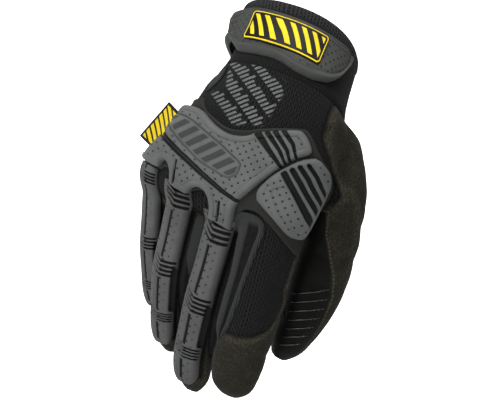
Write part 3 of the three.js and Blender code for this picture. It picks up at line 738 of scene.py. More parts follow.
def patch(outline, low, shape, cuts=2, reach=0.004, front_only=False):
    """A moulded sheet on the skin inside an outline. shape gives the height in metres at each point
    from its place in the layout plane and its depth inside the outline, with marks for the material."""
    skin = hand_surface()
    at = laid_out(skin["points"])
    depth = outline_depth(at, outline)
    wanted = (depth > -reach) & (past_side_seam(skin["points"]) > -reach)
    if front_only:
        wanted &= skin["normals"] @ VIEW_OUT > 0
    bm = bmesh.new()
    bm.from_mesh(skin["mesh"])
    bm.verts.ensure_lookup_table()
    bmesh.ops.delete(bm, geom=[v for v, ok in zip(bm.verts, wanted) if not ok], context="VERTS")
    bmesh.ops.subdivide_edges(bm, edges=bm.edges, cuts=cuts, use_grid_fill=True)
    for _ in range(4):
        bmesh.ops.smooth_vert(bm, verts=[v for v in bm.verts if not v.is_boundary], factor=0.5,
                              use_axis_x=True, use_axis_y=True, use_axis_z=True)
    mesh = bpy.data.meshes.new("patch")
    bm.to_mesh(mesh)
    bm.free()
    points = verts_of(mesh)
    normals = normals_of(mesh)
    at = laid_out(points)
    depth = np.minimum(outline_depth(at, outline), past_side_seam(points))
    across, down = at.T.copy()
    parts = [across, down] + list(normals.T.copy())
    snap(points, edges_of(mesh), depth, parts)
    at = np.stack(parts[:2], -1)
    normals = unit(np.stack(parts[2:], -1))
    tall, marks = shape(at, depth)
    raised = points + normals * (low + tall)[:, None]
    set_verts(mesh, raised)
    set_uv(mesh, at)
    for mark, value in marks.items():
        set_attribute(mesh, mark, value)
    bm = bmesh.new()
    bm.from_mesh(mesh)
    bpy.data.meshes.remove(mesh)
    bm.faces.ensure_lookup_table()
    outside = [f for f in bm.faces if sum(depth[v.index] for v in f.verts) <= 0]
    foot = points - normals * 0.0005
    layer = bm.verts.layers.int.new("from")
    for vert in bm.verts:
        vert[layer] = vert.index
    bmesh.ops.delete(bm, geom=outside, context="FACES")
    rim = [edge for edge in bm.edges if edge.is_boundary]
    made = bmesh.ops.extrude_edge_only(bm, edges=rim)["geom"]
    for vert in made:
        if isinstance(vert, bmesh.types.BMVert):
            vert.co = foot[vert[layer]]
    bmesh.ops.recalc_face_normals(bm, faces=bm.faces)
    bm.verts.layers.int.remove(layer)
    return bm


# A moulded sheet is at least this high, in metres
LOWEST = 0.0003


def edge_round(depth, radius, lowest=0.3):
    t = np.clip(depth / radius, 0, 1)
    return lowest + (1 - lowest) * np.sqrt(np.clip(1 - (1 - t) ** 2, 0, 1))


def cut_by(lines, at, widths, taper=0.3):
    """How much of a groove's full depth is cut at each point, for lines of given half widths."""
    cut = np.zeros(len(at))
    for line, half in zip(lines, widths):
        reach, place = line_distance(at, sized(line))
        half_here = half * MM * (1 - taper * place)
        cut = np.maximum(cut, smooth_step(half_here * 1.25, half_here * 0.75, reach))
    return cut


def knuckle_shape(at, depth):
    """The knuckle guard: a beaded edge, ribs, slots, a long groove and a sunk panel with plain blocks."""
    bead = smooth_step(0.0042, 0.0034, depth)
    seam = ridge(depth, 0.0039, 0.0004)
    grooves = cut_by(KNUCKLE_GROOVES, at, (2.1, 1.5, 1.45, 1.35), taper=0.55)
    long_cut = cut_by([LONG_GROOVE], at, (2.1,), taper=0.5)
    inner = cut_by([LONG_GROOVE], at, (0.8,), taper=0.5)
    slots = np.zeros(len(at))
    soft = 0.0002
    for slot, half in zip(KNUCKLE_SLOTS, (0.0006, 0.0007, 0.0006)):
        reach, _ = line_distance(at, sized(slot))
        slots = np.maximum(slots, smooth_step(half + soft, half - soft, reach))
    ridges = cut_by(KNUCKLE_GROOVES[1:], at, (3.2, 3.2, 3.2), taper=0)
    recess = outline_depth(at, rounded_outline(PANEL_OUTLINE, (0.12,)))
    panel = smooth_step(0, 0.0006, recess)
    frame_line = ridge(recess, 0, 0.0006)
    blocks = panel_blocks(at) * smooth_step(0.0012, 0.002, recess)
    tall = settings().guard_height * edge_round(depth, 0.0022) + 0.0004 * (bead - seam)
    tall -= settings().groove_depth * (grooves + long_cut * 0.8 + slots * 0.9)
    tall += 0.0006 * (inner - panel) + 0.0003 * frame_line + 0.0008 * blocks
    # The groove mark paints shade into the grooves, the long groove and the slots
    groove = np.clip(grooves + (long_cut - inner * 0.35) + slots, 0, 1)
    plain = np.maximum.reduce([bead, groove, panel, frame_line, ridges])
    block = np.clip(blocks + frame_line, 0, 1)
    return np.maximum(tall, LOWEST), {"groove": groove, "plain": plain, "block": block}


def panel_blocks(at):
    """A row of plain raised slanted blocks along the knuckle guard's sunk panel."""
    left, right = sized([(-0.46, 0.592), (-0.005, 0.712)])
    way = (right - left) / np.linalg.norm(right - left)
    along = (at - left) @ way
    aside = (at - left) @ np.array([-way[1], way[0]])
    pitch = settings().block_pitch
    phase = ((along + aside * 0.5) / pitch) % 1
    return smooth_step(0.1, 0.2, phase) * smooth_step(0.72, 0.62, phase)


def side_shape(at, depth):
    """The side pad: a broad rounded edge, four ribs and a slightly sunk dotted field."""
    tall = (settings().guard_height + 0.0008) * edge_round(depth, 0.0036)
    # The grooves are cut here, and as a mark they are painted dark as shade
    groove = cut_by(SIDE_GROOVES, at, (1.8, 1.5, 1.3, 1.1), taper=0.1) * smooth_step(0.0006, 0.0026, depth)
    sunk = smooth_step(0, 0.0008, outline_depth(at, rounded_outline(SIDE_FIELD, (0.2,))))
    tall -= settings().groove_depth * groove + 0.0005 * sunk
    ridges = cut_by(SIDE_GROOVES[1:], at, (3.2, 3.2, 3), taper=0)
    plain = np.maximum.reduce([groove, ridges, smooth_step(0.003, 0.002, depth)])
    return np.maximum(tall, LOWEST), {"groove": groove, "plain": plain, "block": np.zeros_like(depth)}


def flange_shape(at, depth):
    """The thin flange under the guards, with a low rim."""
    tall = settings().flange_wall * edge_round(depth, 0.001) + 0.0003 * ridge(depth, 0.0011, 0.0006)
    none = np.zeros_like(depth)
    return tall, {"groove": none, "plain": none + 1, "block": none}


def gusset_shape(at, depth):
    """The small patch of side cloth at the wrist."""
    return 0.0009 * edge_round(depth, 0.002), {"seam": ridge(depth, 0, 0.0007)}


# How deep a moulded piece's edge goes into the cloth, in metres
GUARD_FOOT = 0.0006


def build_roll(material):
    """Rolled stretch cloth down the index finger's side: a wide strand, an opening painted dark as shade, and
    a thin strand.
    """
    digit = DIGITS["index"]
    rows, columns = ((180, 48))
    top, end = 0.15, 0.76
    left = -82.0
    share = np.linspace(top, end, rows)[:, None] + np.zeros((1, columns))
    right = np.interp(share, *np.array(ROLL_EDGE).T)
    from_top = (share - top) * digit["length"]
    to_end = (end - share) * digit["length"]
    narrow = np.sqrt(np.clip(1 - (1 - np.clip(from_top / 0.0055, 0, 1)) ** 2, 0.02, 1))
    narrow *= np.clip(to_end / 0.016, 0.05, 1) ** 0.6
    across = np.linspace(0, 1, columns)[None] + 0 * share
    degrees = left + (right - left) * (0.5 + (across - 0.5) * narrow)
    lower = np.clip((share - 0.2) / 0.5, 0, 1)
    # The opening lies from first to second across the roll
    first, second = 0.54 + 0.1 * lower, 0.87 - 0.08 * lower
    wide = 0.003 * strand(across, first / 2, first / 2 + 0.02)
    thin = 0.0016 * strand(across, (1 + second) / 2, (1 - second) / 2 + 0.01)
    opened = smooth_step(0.003, 0.008, from_top)
    whole = 0.002 * edge_round(0.5 - np.abs(across - 0.5), 0.3)
    tall = (whole + (np.maximum(wide, thin) - whole) * opened) * smooth_step(0, 0.012, to_end)
    # Painted shade in the opening between the strands
    dark = smooth_step(first - 0.06, first + 0.04, across) * smooth_step(second + 0.02, second - 0.03, across)
    angle = np.radians(degrees)
    base = on_skin(digit, share, angle)
    out = outwards(digit, share, angle)
    upper = base + out * (tall + 0.0001)[..., None]
    foot = base - out * GUARD_FOOT
    points = np.concatenate([foot[:, :1], upper, foot[:, -1:]], 1)
    points = np.concatenate([foot_row(points[0], foot[0]), points, foot_row(points[-1], foot[-1])], 0)
    piece = add_piece("fourchette_roll", mesh_grid(points), material)
    lay = np.stack([angle * digit["width"] / 2, share * digit["length"]], -1)
    set_uv(piece.data, pad_grid(lay).reshape(-1, 2))
    # The seam mark carries the painted shade of the opening
    set_attribute(piece.data, "seam", pad_grid(dark * opened).ravel())
    return piece


def strand(across, middle, half):
    """The round outline of a strand of cloth."""
    return np.sqrt(np.clip(1 - ((across - middle) / half) ** 2, 0, 1))


def outwards(digit, share, angle):
    """The way straight out of a digit at each place."""
    return unit(digit_points(digit, share, angle, 0.004) - digit_points(digit, share, angle, 0.0))


def build_leaf(near, far, material):
    """A leaf of stretch cloth that fills the gap between two fingers."""
    start, end = LEAVES[near, far]
    down = np.linspace(start, end, 60)[:, None] * MM
    turn = np.linspace(0, 2 * math.pi, 41)[None]
    a = digit_points(DIGITS[near], down / DIGITS[near]["length"], math.radians(-62), -0.0006)
    b = digit_points(DIGITS[far], down / DIGITS[far]["length"], math.radians(62), -0.0006)
    place = np.linspace(0, 1, 60)[:, None]
    full = np.clip(np.sin(np.pi * np.clip(place * 1.02 + 0.02, 0, 1)) * 1.7, 0.06, 1)
    middle = (a + b) / 2
    half = (b - a) / 2 * full[..., None]
    _, back, _, _ = digit_frame(DIGITS[near], down / DIGITS[near]["length"])
    lift = np.where(np.sin(turn) > 0, 0.0022, 0.0014) * np.sin(turn) * full
    points = middle - half * np.cos(turn)[..., None] + back * (lift - 0.0012)[..., None]
    piece = add_piece(f"fourchette_leaf_{near}_{far}", mesh_grid(points, closed=True, caps=True), material)
    placed = verts_of(piece.data)
    set_uv(piece.data, np.stack([placed @ VIEW_RIGHT, placed[:, 2]], -1))
    set_attribute(piece.data, "seam", np.zeros(len(placed)))
    return piece


def finger_guard_bm(name):
    """The moulded guard down one finger: chevron ribs, a dotted channel and a sloping side, which is painted
    darker as shade.
    """
    digit = DIGITS[name]
    spec = GUARDED_FINGERS[name]
    length = digit["length"]
    half = settings().finger_guard_angle
    rows, columns = ((360, 72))
    share = np.linspace(spec["start"], spec["end"], rows)[:, None] + np.zeros((1, columns))
    side = np.sin(np.linspace(-math.pi / 2, math.pi / 2, columns))[None] * np.ones((rows, 1))
    side = np.sign(side) * np.abs(side) ** 1.15
    tip = (spec["end"] - share) * length
    top = (share - spec["start"]) * length
    narrow = np.sqrt(np.clip(1 - (1 - np.clip(tip / 0.009, 0, 1)) ** 2, 0.03, 1))
    tip_round = narrow
    radius = row_at(digit["girth"], "along", share)["wide"] * digit["width"] / 2
    crest = on_skin(digit, share[:, :1], 0 * share[:, :1])
    out_there = np.linalg.norm(crest - digit_frame(digit, share[:, :1])[0], axis=-1)
    own = row_at(digit["girth"], "along", share[:, :1])["deep"] * digit["depth"] / 2
    narrow = narrow * np.clip(own / out_there, 0.4, 1)
    angle = np.radians(side * half * narrow)
    from_edge = (1 - np.abs(side)) * np.radians(half) * radius * tip_round
    plateau = -0.12 * half
    degrees = side * half * tip_round
    height = settings().finger_guard_height
    tall = height * edge_round(np.minimum(from_edge, np.minimum(tip, top + 0.004)), 0.0021, 0.12)
    # The sloping side is lowered a little and painted darker as shade
    shaded_flank = smooth_step(0.42 * half, half, degrees)
    tall *= 1 - 0.42 * shaded_flank
    # The ribs' arms run up steeply on one side of the crest and gently on the other
    arm = np.where(degrees < plateau, (plateau - degrees) * 0.16, (degrees - plateau) * 0.02)
    arm *= MM * radius / 0.011
    groove = np.zeros_like(tall)
    between = np.ones_like(tall)
    for at_share, pitch in zip(spec["ribs"], spec["pitches"]):
        along = (share - at_share) * length + arm
        phase = along / (pitch * MM)
        inside = smooth_step(-0.1, 0.0, phase) * smooth_step(4.1, 4.0, phase)
        wave = 0.5 - 0.5 * np.cos(2 * math.pi * phase)
        groove = np.maximum(groove, inside * smooth_step(0.16, 0.56, wave))
        between *= 1 - smooth_step(-0.6, -0.1, phase) * smooth_step(4.6, 4.1, phase)
    groove *= smooth_step(0.0002, 0.0014, from_edge)
    groove *= smooth_step(0.9 * half, 0.6 * half, np.abs(degrees - 3))
    offset = (degrees + 0.2 * half) * math.pi / 180 * radius
    ends = between * smooth_step(0.002, 0.006, tip)
    channel = smooth_step(0.00105, 0.0006, np.abs(offset - 0.0006)) * ends
    sunk = smooth_step(0.0017, 0.0013, np.abs(offset)) * ends
    low = spec["ribs"][1] + (1.2 * spec["pitches"][1] * MM) / length
    inside = np.minimum(share - low, spec["ribs"][2] - 0.008 - share) * length
    place = (degrees - 0.58 * half) * math.pi / 180 * radius
    well = np.minimum(inside, place) - 0.0005 * ridge(np.minimum(inside, 0.003), 0, 0.002)
    window = smooth_step(-0.0002, 0.0004, well)
    tall -= settings().groove_depth * groove * 0.9 + 0.0011 * channel + 0.0004 * sunk
    tall = np.maximum(tall * (1 - 0.88 * window), 0.00035)
    reach = 0.003 + 0.009 * smooth_step(0.4, 0.3, share)
    base = on_skin(digit, share, angle, reach)
    out = outwards(digit, share, angle)
    top_face = base + out * tall[..., None]
    foot = base - out * GUARD_FOOT
    ring = [foot[:, :1], top_face, foot[:, -1:]]
    points = np.concatenate(ring, 1)
    points = np.concatenate([foot_row(points[0], foot[0]), points, foot_row(points[-1], foot[-1])], 0)
    bm = mesh_grid(points)
    # The groove mark paints shade into the rib grooves and the channel's slit; in the window it gives the
    # black of the knit that shows there
    marks = {"groove": np.clip(groove + channel + window, 0, 1), "shaded_flank": shaded_flank, "block": 0 * shaded_flank,
             "plain": np.clip(smooth_step(0.2 * half, 0.4 * half, degrees) + groove + sunk, 0, 1)}
    lay = np.stack([np.radians(degrees) * radius, share * length], -1)
    full = {key: pad_grid(value) for key, value in marks.items()}
    return bm, full, pad_grid(lay)


def foot_row(row, foot):
    made = row.copy()
    made[1:-1] = foot
    return made[None]


def pad_grid(values):
    """The marks of a grid, repeated for the walls round it."""
    wide = np.concatenate([values[:, :1], values, values[:, -1:]], 1)
    return np.concatenate([wide[:1], wide, wide[-1:]], 0)


def on_skin(digit, share, angle, reach=0.012):
    """Points on the hand's skin at places round a digit, found inwards from a reach outside it."""
    tree = hand_surface()["tree"]
    plain = digit_points(digit, share, angle, 0.0)
    outer = plain + outwards(digit, share, angle) * (reach + 0 * share)[..., None]
    found = plain.copy()
    for index in np.ndindex(share.shape):
        away = Vector(plain[index] - outer[index])
        hit = tree.ray_cast(Vector(outer[index]), away.normalized(), away.length * 1.4)[0]
        if hit:
            found[index] = hit
    return found


def set_cuff_map(piece, share, angle):
    """The cuff's own map, in metres, which goes round and starts again."""
    lay = np.stack([np.radians(angle) * CUFF_RADIUS, share * PALM_LENGTH], -1)
    set_uv(piece.data, lay, 2 * math.pi * CUFF_RADIUS)


def build_cuff(material):
    """The knitted band with its thick rolled rim, lined inside."""
    wall = 0.0028
    profile = [(CUFF_DROP - 0.0001, -wall)] + [(d * MM, -wall) for d in (30, 16, 8, 4)]
    rim = 0.0024
    for turn in np.linspace(0, math.pi, 9):
        profile.append((0.0016 - rim * math.sin(turn), -wall / 2 - (wall / 2 + 0.0004) * math.cos(turn)))
    profile += [(0.0035, 0.0006), (0.0055, -0.0001), (0.0075, 0.0)]
    profile += [(d * MM, 0.0) for d in (12, 20, 30, 38)]
    profile += [(CUFF_DROP, -0.0002), (CUFF_DROP - 0.0001, -wall)]
    down, grow = np.array(profile).T
    angles = np.linspace(-math.pi, math.pi, 145)
    points = palm_points(down[None] / PALM_LENGTH + 0 * angles[:, None], angles[:, None], grow[None])
    bm = mesh_grid(points, closed=True)
    piece = add_piece("cuff_band_knit", bm, material)
    placed = verts_of(piece.data)
    share, angle = palm_coordinates(placed)
    set_cuff_map(piece, share, angle)
    set_attribute(piece.data, "rim", smooth_step(0.062, 0.05, share))
    return piece


def build_strap(material):
    """The moulded strap round the cuff: ridges along its top, a rolled lip below and a rounded end."""
    thick = settings().strap_thickness
    angles = np.concatenate([np.linspace(-150, 60, 120), np.linspace(61, 76.9, 30)])
    across = np.linspace(0, 1, 61)
    top, bottom = curve_at(STRAP_TOP, angles), curve_at(STRAP_BOTTOM, angles)
    share = top[:, None] + (bottom - top)[:, None] * across[None]
    width = (bottom - top)[:, None] * PALM_LENGTH
    from_top = across[None] * width
    from_low = (1 - across[None]) * width
    end = np.minimum((76.9 - angles), 200)[:, None] * math.pi / 180 * 0.042
    near = np.minimum(np.minimum(from_top, from_low), end)
    tall = thick * edge_round(near, 0.0018, 0.25)
    for place in (0.0022, 0.0048):
        tall -= 0.0007 * ridge(from_top, place, 0.0007)
    low_edge = np.minimum(from_low, end)
    tall += 0.0009 * ridge(low_edge, 0.0017, 0.0012) - 0.0005 * ridge(low_edge, 0.0041, 0.0008)
    folds = ridge(angles, -58, 9)[:, None]
    tall += 0.0008 * folds * np.cos(across[None] * 26 + np.radians(angles)[:, None] * 9)
    angle = np.radians(angles)[:, None] + 0 * share
    stand_off = 0.0003 + 0.0042 * ridge(angles, -72, 23)[:, None] + 0 * share
    upper = palm_points(share, angle, stand_off + tall)
    lower = palm_points(share, angle, stand_off)
    ring = np.concatenate([lower[:, :1], upper, lower[:, ::-1]], 1)
    bm = mesh_grid(ring, closed=True, caps=True)
    piece = add_piece("cuff_strap_moulded", bm, material)
    placed = verts_of(piece.data)
    share, angle = palm_coordinates(placed)
    set_cuff_map(piece, share, angle)
    top_at, bottom_at = curve_at(STRAP_TOP, angle), curve_at(STRAP_BOTTOM, angle)
    from_top = (share - top_at) * PALM_LENGTH
    from_low = (bottom_at - share) * PALM_LENGTH
    plain = np.maximum(smooth_step(0.0048, 0.004, from_low), smooth_step(0.006, 0.0052, from_top))
    set_attribute(piece.data, "plain", plain)
    set_attribute(piece.data, "groove", 0 * plain)
    return piece


def build_badge(material):
    """The plate on the strap, with a raised border and plain slanted bars."""
    across = np.linspace(0, 1, 150)
    down = np.linspace(0, 1, 64)
    (a, b), (c, d) = np.array(BADGE_CORNERS)
    upper = a + (b - a) * across[:, None]
    lower = c + (d - c) * across[:, None]
    place = upper[:, None] + (lower - upper)[:, None] * down[None, :, None]
    angle, share = place[..., 0], place[..., 1]
    share = share + 0.006 * np.sin(across * math.pi)[:, None]
    wide, high = 0.056, 0.0205
    x, y = across[:, None] * wide + 0 * share, down[None] * high + 0 * share
    round_by = 0.003
    dx = round_by - np.minimum(x, wide - x)
    dy = round_by - np.minimum(y, high - y)
    outside = np.hypot(np.maximum(dx, 0), np.maximum(dy, 0))
    to_edge = np.minimum(np.minimum(x, wide - x), np.minimum(y, high - y))
    depth = np.where((dx > 0) & (dy > 0), round_by - outside, to_edge)
    tall = settings().badge_thickness * edge_round(np.clip(depth, 0, 1), 0.0008, 0.1)
    border = smooth_step(0.0014, 0.0011, depth) * smooth_step(0.0003, 0.0006, depth)
    phase = ((x - y * 0.75) / settings().bar_pitch) % 1
    bars = smooth_step(0.08, 0.14, phase) * smooth_step(0.6, 0.54, phase) * smooth_step(0.0026, 0.003, depth)
    tall += 0.00035 * np.maximum(border, bars)
    seat = 0.0006 + settings().strap_thickness - 0.0004
    upper_face = palm_points(share, np.radians(angle), seat + tall)
    lower_face = palm_points(share, np.radians(angle), seat - 0.0006 + 0 * tall)
    ring = np.concatenate([lower_face[:, :1], upper_face, lower_face[:, -1:]], 1)
    ring = np.concatenate([foot_row(ring[0], lower_face[0]), ring, foot_row(ring[-1], lower_face[-1])], 0)
    bm = mesh_grid(ring)
    piece = add_piece("strap_badge_plate", bm, material)
    set_uv(piece.data, pad_grid(np.stack([x, y], -1)).reshape(-1, 2))
    set_attribute(piece.data, "paint", pad_grid(np.clip(border + bars, 0, 1)).ravel())
    return piece


def build_grips(material):
    """Glossy raised lines across the thumb's pad, each a separate piece."""
    digit = DIGITS["thumb"]
    pieces = []
    for n in range(7):
        # Degrees round the thumb, then the share of its length, which slants a little
        turn = np.linspace(190 + 4 * n, 276 - 2 * abs(n - 2.5), 30)
        middle = 0.689 + 0.0345 * n + 0.05 * (276 - turn) / 64
        across = np.linspace(-1, 1, 11)
        ends = np.sqrt(np.clip(1 - np.abs(np.linspace(-1, 1, 30)) ** 10, 0.02, 1))
        along = np.linspace(0, 1, 30)
        # A long stroke, a short one and a dot
        line = smooth_step(0.81, 0.78, along) + smooth_step(0.84, 0.87, along) * smooth_step(0.93, 0.9, along)
        line = np.clip(line + smooth_step(0.955, 0.97, along), 0, 1)
        half = 0.0006 * ends[:, None]
        share = middle[:, None] + across[None] * half / digit["length"]
        angle = np.radians(turn)[:, None] + 0 * share
        round_top = np.sqrt(np.clip(1 - across[None] ** 2, 0.0, 1))
        tall = settings().grip_height * round_top * (ends * line)[:, None]
        base = on_skin(digit, share, angle, reach=0.002)
        out = outwards(digit, share, angle)
        points = base + out * (tall - 0.0002)[..., None]
        under = base - out * 0.0008
        ring = np.concatenate([points, under[:, ::-1]], 1)
        ring = np.concatenate([ring, ring[:, :1]], 1)
        bm = mesh_grid(ring, closed=True, caps=True)
        pieces.append(add_piece(f"thumb_grip_line_{n + 1}", bm, material))
    return pieces


def build_tab(material):
    """The folded tab in the seam on the little finger's side."""
    low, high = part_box("side_tab")
    middle = (Vector(low) + Vector(high)) / 2
    wide, long, tilt = 0.019, 0.029, math.radians(20)
    bm = bmesh.new()
    bmesh.ops.create_grid(bm, x_segments=16, y_segments=24, size=0.5)
    bmesh.ops.transform(bm, matrix=Matrix.Diagonal((wide, long, 1, 1)), verts=bm.verts)
    layer = bm.loops.layers.uv.new("Lay")
    for face in bm.faces:
        for loop in face.loops:
            loop[layer].uv = loop.vert.co[:2]
    upright = Matrix.Rotation(tilt, 4, "Y") @ Matrix.Rotation(math.radians(90), 4, "X")
    bmesh.ops.transform(bm, matrix=Matrix.Translation(middle) @ upright, verts=bm.verts)
    for vert in bm.verts:
        vert.co.y += 0.0006 * math.sin(vert.co.x * 300)
    piece = add_piece("side_tab_cloth", bm, material)
    wall = piece.modifiers.new("Folded cloth", "SOLIDIFY")
    wall.thickness = 0.0014
    wall.offset = 0
    return piece


# Shader building, shared by all finishes


def new_group(name, inputs, outputs):
    group = bpy.data.node_groups.new(name, "ShaderNodeTree")
    for label, kind, default in inputs:
        socket = group.interface.new_socket(name=label, in_out="INPUT", socket_type=kind)
        if default is not None:
            socket.default_value = default
    for label, kind in outputs:
        group.interface.new_socket(name=label, in_out="OUTPUT", socket_type=kind)
    return group, group.nodes.new("NodeGroupInput"), group.nodes.new("NodeGroupOutput")


class Wiring:
    """Short ways to add nodes to one tree."""

    def __init__(self, tree):
        self.tree = tree

    def node(self, kind, **values):
        made = self.tree.nodes.new(kind)
        for key, value in values.items():
            setattr(made, key, value)
        return made

    def link(self, source, target):
        self.tree.links.new(source, target)

    def feed(self, socket, value):
        if isinstance(value, bpy.types.NodeSocket):
            self.link(value, socket)
        else:
            socket.default_value = value

    def math(self, operation, *values, clamp=False):
        made = self.node("ShaderNodeMath", operation=operation, use_clamp=clamp)
        for socket, value in zip(made.inputs, values):
            self.feed(socket, value)
        return made.outputs[0]

    def smooth(self, value, low, high):
        made = self.node("ShaderNodeMapRange", interpolation_type="SMOOTHSTEP")
        for socket, item in zip(made.inputs, (value, low, high, 0.0, 1.0)):
            self.feed(socket, item)
        return made.outputs[0]

    def mix(self, share, a, b):
        made = self.node("ShaderNodeMix", data_type="RGBA")
        self.feed(made.inputs[0], share)
        for socket, value in ((made.inputs[6], a), (made.inputs[7], b)):
            self.feed(socket, value if isinstance(value, bpy.types.NodeSocket) else (*value[:3], 1))
        return made.outputs[2]

    def noise(self, vector, scale, detail=3.0):
        made = self.node("ShaderNodeTexNoise")
        self.feed(made.inputs["Vector"], vector)
        self.feed(made.inputs["Scale"], scale)
        made.inputs["Detail"].default_value = detail
        made.inputs["Roughness"].default_value = 0.6
        return made.outputs["Fac"]


def dot_field():
    """Round dots in diagonal rows."""
    group, source, result = new_group(
        "Moulded dots",
        [
            ("Vector", "NodeSocketVector", None), ("Pitch", "NodeSocketFloat", 0.004),
            ("Radius", "NodeSocketFloat", 0.12),
        ],
        [("Mask", "NodeSocketFloat")],
    )
    w = Wiring(group)
    split = w.node("ShaderNodeSeparateXYZ")
    w.link(source.outputs["Vector"], split.inputs[0])
    x, y = split.outputs[0], split.outputs[1]
    parts = []
    for operation in ("ADD", "SUBTRACT"):
        turned = w.math("MULTIPLY", w.math(operation, x, y), 0.7071)
        turned = w.math("DIVIDE", turned, source.outputs["Pitch"])
        parts.append(w.math("SUBTRACT", w.math("FRACT", turned), 0.5))
    reach = w.math("SQRT", w.math("ADD", w.math("POWER", parts[0], 2.0), w.math("POWER", parts[1], 2.0)))
    wide = w.math("MULTIPLY", source.outputs["Radius"], 1.35)
    w.link(w.smooth(reach, wide, source.outputs["Radius"]), result.inputs["Mask"])
    return group


def cloth_ribs():
    """Knitted ribs along the cloth, with a column of short dark slits down each."""
    group, source, result = new_group(
        "Knitted ribs",
        [
            ("Vector", "NodeSocketVector", None), ("Rib", "NodeSocketFloat", 0.0016),
            ("Stitch", "NodeSocketFloat", 0.0012),
        ],
        [("Top", "NodeSocketFloat")],
    )
    w = Wiring(group)
    split = w.node("ShaderNodeSeparateXYZ")
    w.link(source.outputs["Vector"], split.inputs[0])
    column = w.math("DIVIDE", split.outputs[0], source.outputs["Rib"])
    row = w.math("DIVIDE", split.outputs[1], source.outputs["Stitch"])
    row = w.math("ADD", row, w.math("MULTIPLY", w.math("FLOOR", column), 0.5))
    aside = w.math("ABSOLUTE", w.math("SUBTRACT", w.math("FRACT", column), 0.5))
    along = w.math("ABSOLUTE", w.math("SUBTRACT", w.math("FRACT", row), 0.5))
    slit = w.math("MULTIPLY", w.smooth(aside, 0.34, 0.12), w.smooth(along, 0.42, 0.3))
    w.link(w.math("SUBTRACT", 1.0, slit), result.inputs["Top"])
    return group


def surface_grain():
    """Fine uneven grain in two sizes, for leather, cloth and moulded rubber alike."""
    group, source, result = new_group(
        "Surface grain",
        [
            ("Vector", "NodeSocketVector", None), ("Fine", "NodeSocketFloat", 1500.0),
            ("Coarse", "NodeSocketFloat", 90.0),
        ],
        [("Fine", "NodeSocketFloat"), ("Coarse", "NodeSocketFloat")],
    )
    w = Wiring(group)
    w.link(w.noise(source.outputs["Vector"], source.outputs["Fine"]), result.inputs["Fine"])
    w.link(w.noise(source.outputs["Vector"], source.outputs["Coarse"], 4.0), result.inputs["Coarse"])
    return group


groups = {}


def group_node(w, name, **values):
    makers = {"dots": dot_field, "ribs": cloth_ribs, "grain": surface_grain}
    if name not in groups:
        groups[name] = makers[name]()
    made = w.node("ShaderNodeGroup")
    made.node_tree = groups[name]
    for key, value in values.items():
        w.feed(made.inputs[key], value)
    return made


def start_material(name, roughness, specular=0.5, sheen=0.0):
    material = bpy.data.materials.new(name)
    material.use_nodes = True
    w = Wiring(material.node_tree)
    shader = material.node_tree.nodes["Principled BSDF"]
    shader.inputs["Roughness"].default_value = roughness
    shader.inputs["Specular IOR Level"].default_value = specular
    shader.inputs["Sheen Weight"].default_value = sheen
    shader.inputs["Sheen Roughness"].default_value = 0.5
    place = w.node("ShaderNodeTexCoord").outputs["Object"]
    return material, w, shader, place


def bump(w, shader, height, depth):
    made = w.node("ShaderNodeBump")
    made.inputs["Distance"].default_value = depth
    made.inputs["Strength"].default_value = 1.0
    w.link(height, made.inputs["Height"])
    w.link(made.outputs[0], shader.inputs["Normal"])


def lay_map(w):
    return w.node("ShaderNodeUVMap", uv_map="Lay").outputs[0]


def mark(w, name):
    return w.node("ShaderNodeAttribute", attribute_name=name).outputs["Fac"]


def tint(colour, by):
    return [c * by for c in colour]


def suede_finish(name, colour, smooth_colour, roughness, nap):
    material, w, shader, place = start_material(name, roughness, 0.06, 0.03)
    grain = group_node(w, "grain", Vector=place, Fine=950.0, Coarse=110.0)
    dark = tint(colour, 0.6)
    tone = w.mix(w.smooth(grain.outputs["Coarse"], 0.3, 0.7), tint(colour, 0.85), tint(colour, 1.3))
    nappy = w.mix(w.smooth(grain.outputs["Fine"], 0.4, 0.65), dark, tone)
    worn = w.math("MULTIPLY", mark(w, "worn"), w.smooth(grain.outputs["Fine"], 0.3, 0.7))
    nappy = w.mix(w.math("MULTIPLY", worn, 0.7), nappy, tint(colour, 2.4))
    outer = mark(w, "outer")
    inner = w.smooth(outer, 0.0003, -0.0003)
    nappy = w.mix(inner, nappy, smooth_colour)
    split = w.node("ShaderNodeSeparateXYZ")
    w.link(lay_map(w), split.inputs[0])
    # A row of stitches just outside the smooth leather
    stitches_per_metre = 420.0
    along = w.math("FRACT", w.math("MULTIPLY", split.outputs[1], stitches_per_metre))
    dash = w.smooth(along, 0.3, 0.4)
    from_line = w.math("ABSOLUTE", w.math("SUBTRACT", outer, 0.0012))
    stitches = w.math("MULTIPLY", w.smooth(from_line, 0.0005, 0.0002), dash)
    nappy = w.mix(w.math("MULTIPLY", stitches, 0.8), nappy, tint(colour, 2.6))
    seam = w.math("MULTIPLY", mark(w, "seam"), 0.85)
    w.link(w.mix(seam, nappy, tint(colour, 0.2)), shader.inputs["Base Color"])
    rough = w.math("SUBTRACT", roughness, w.math("MULTIPLY", inner, 0.4))
    w.link(rough, shader.inputs["Roughness"])
    height = w.math("ADD", grain.outputs["Fine"], w.math("MULTIPLY", grain.outputs["Coarse"], 1.5))
    bump(w, shader, height, nap)
    return material


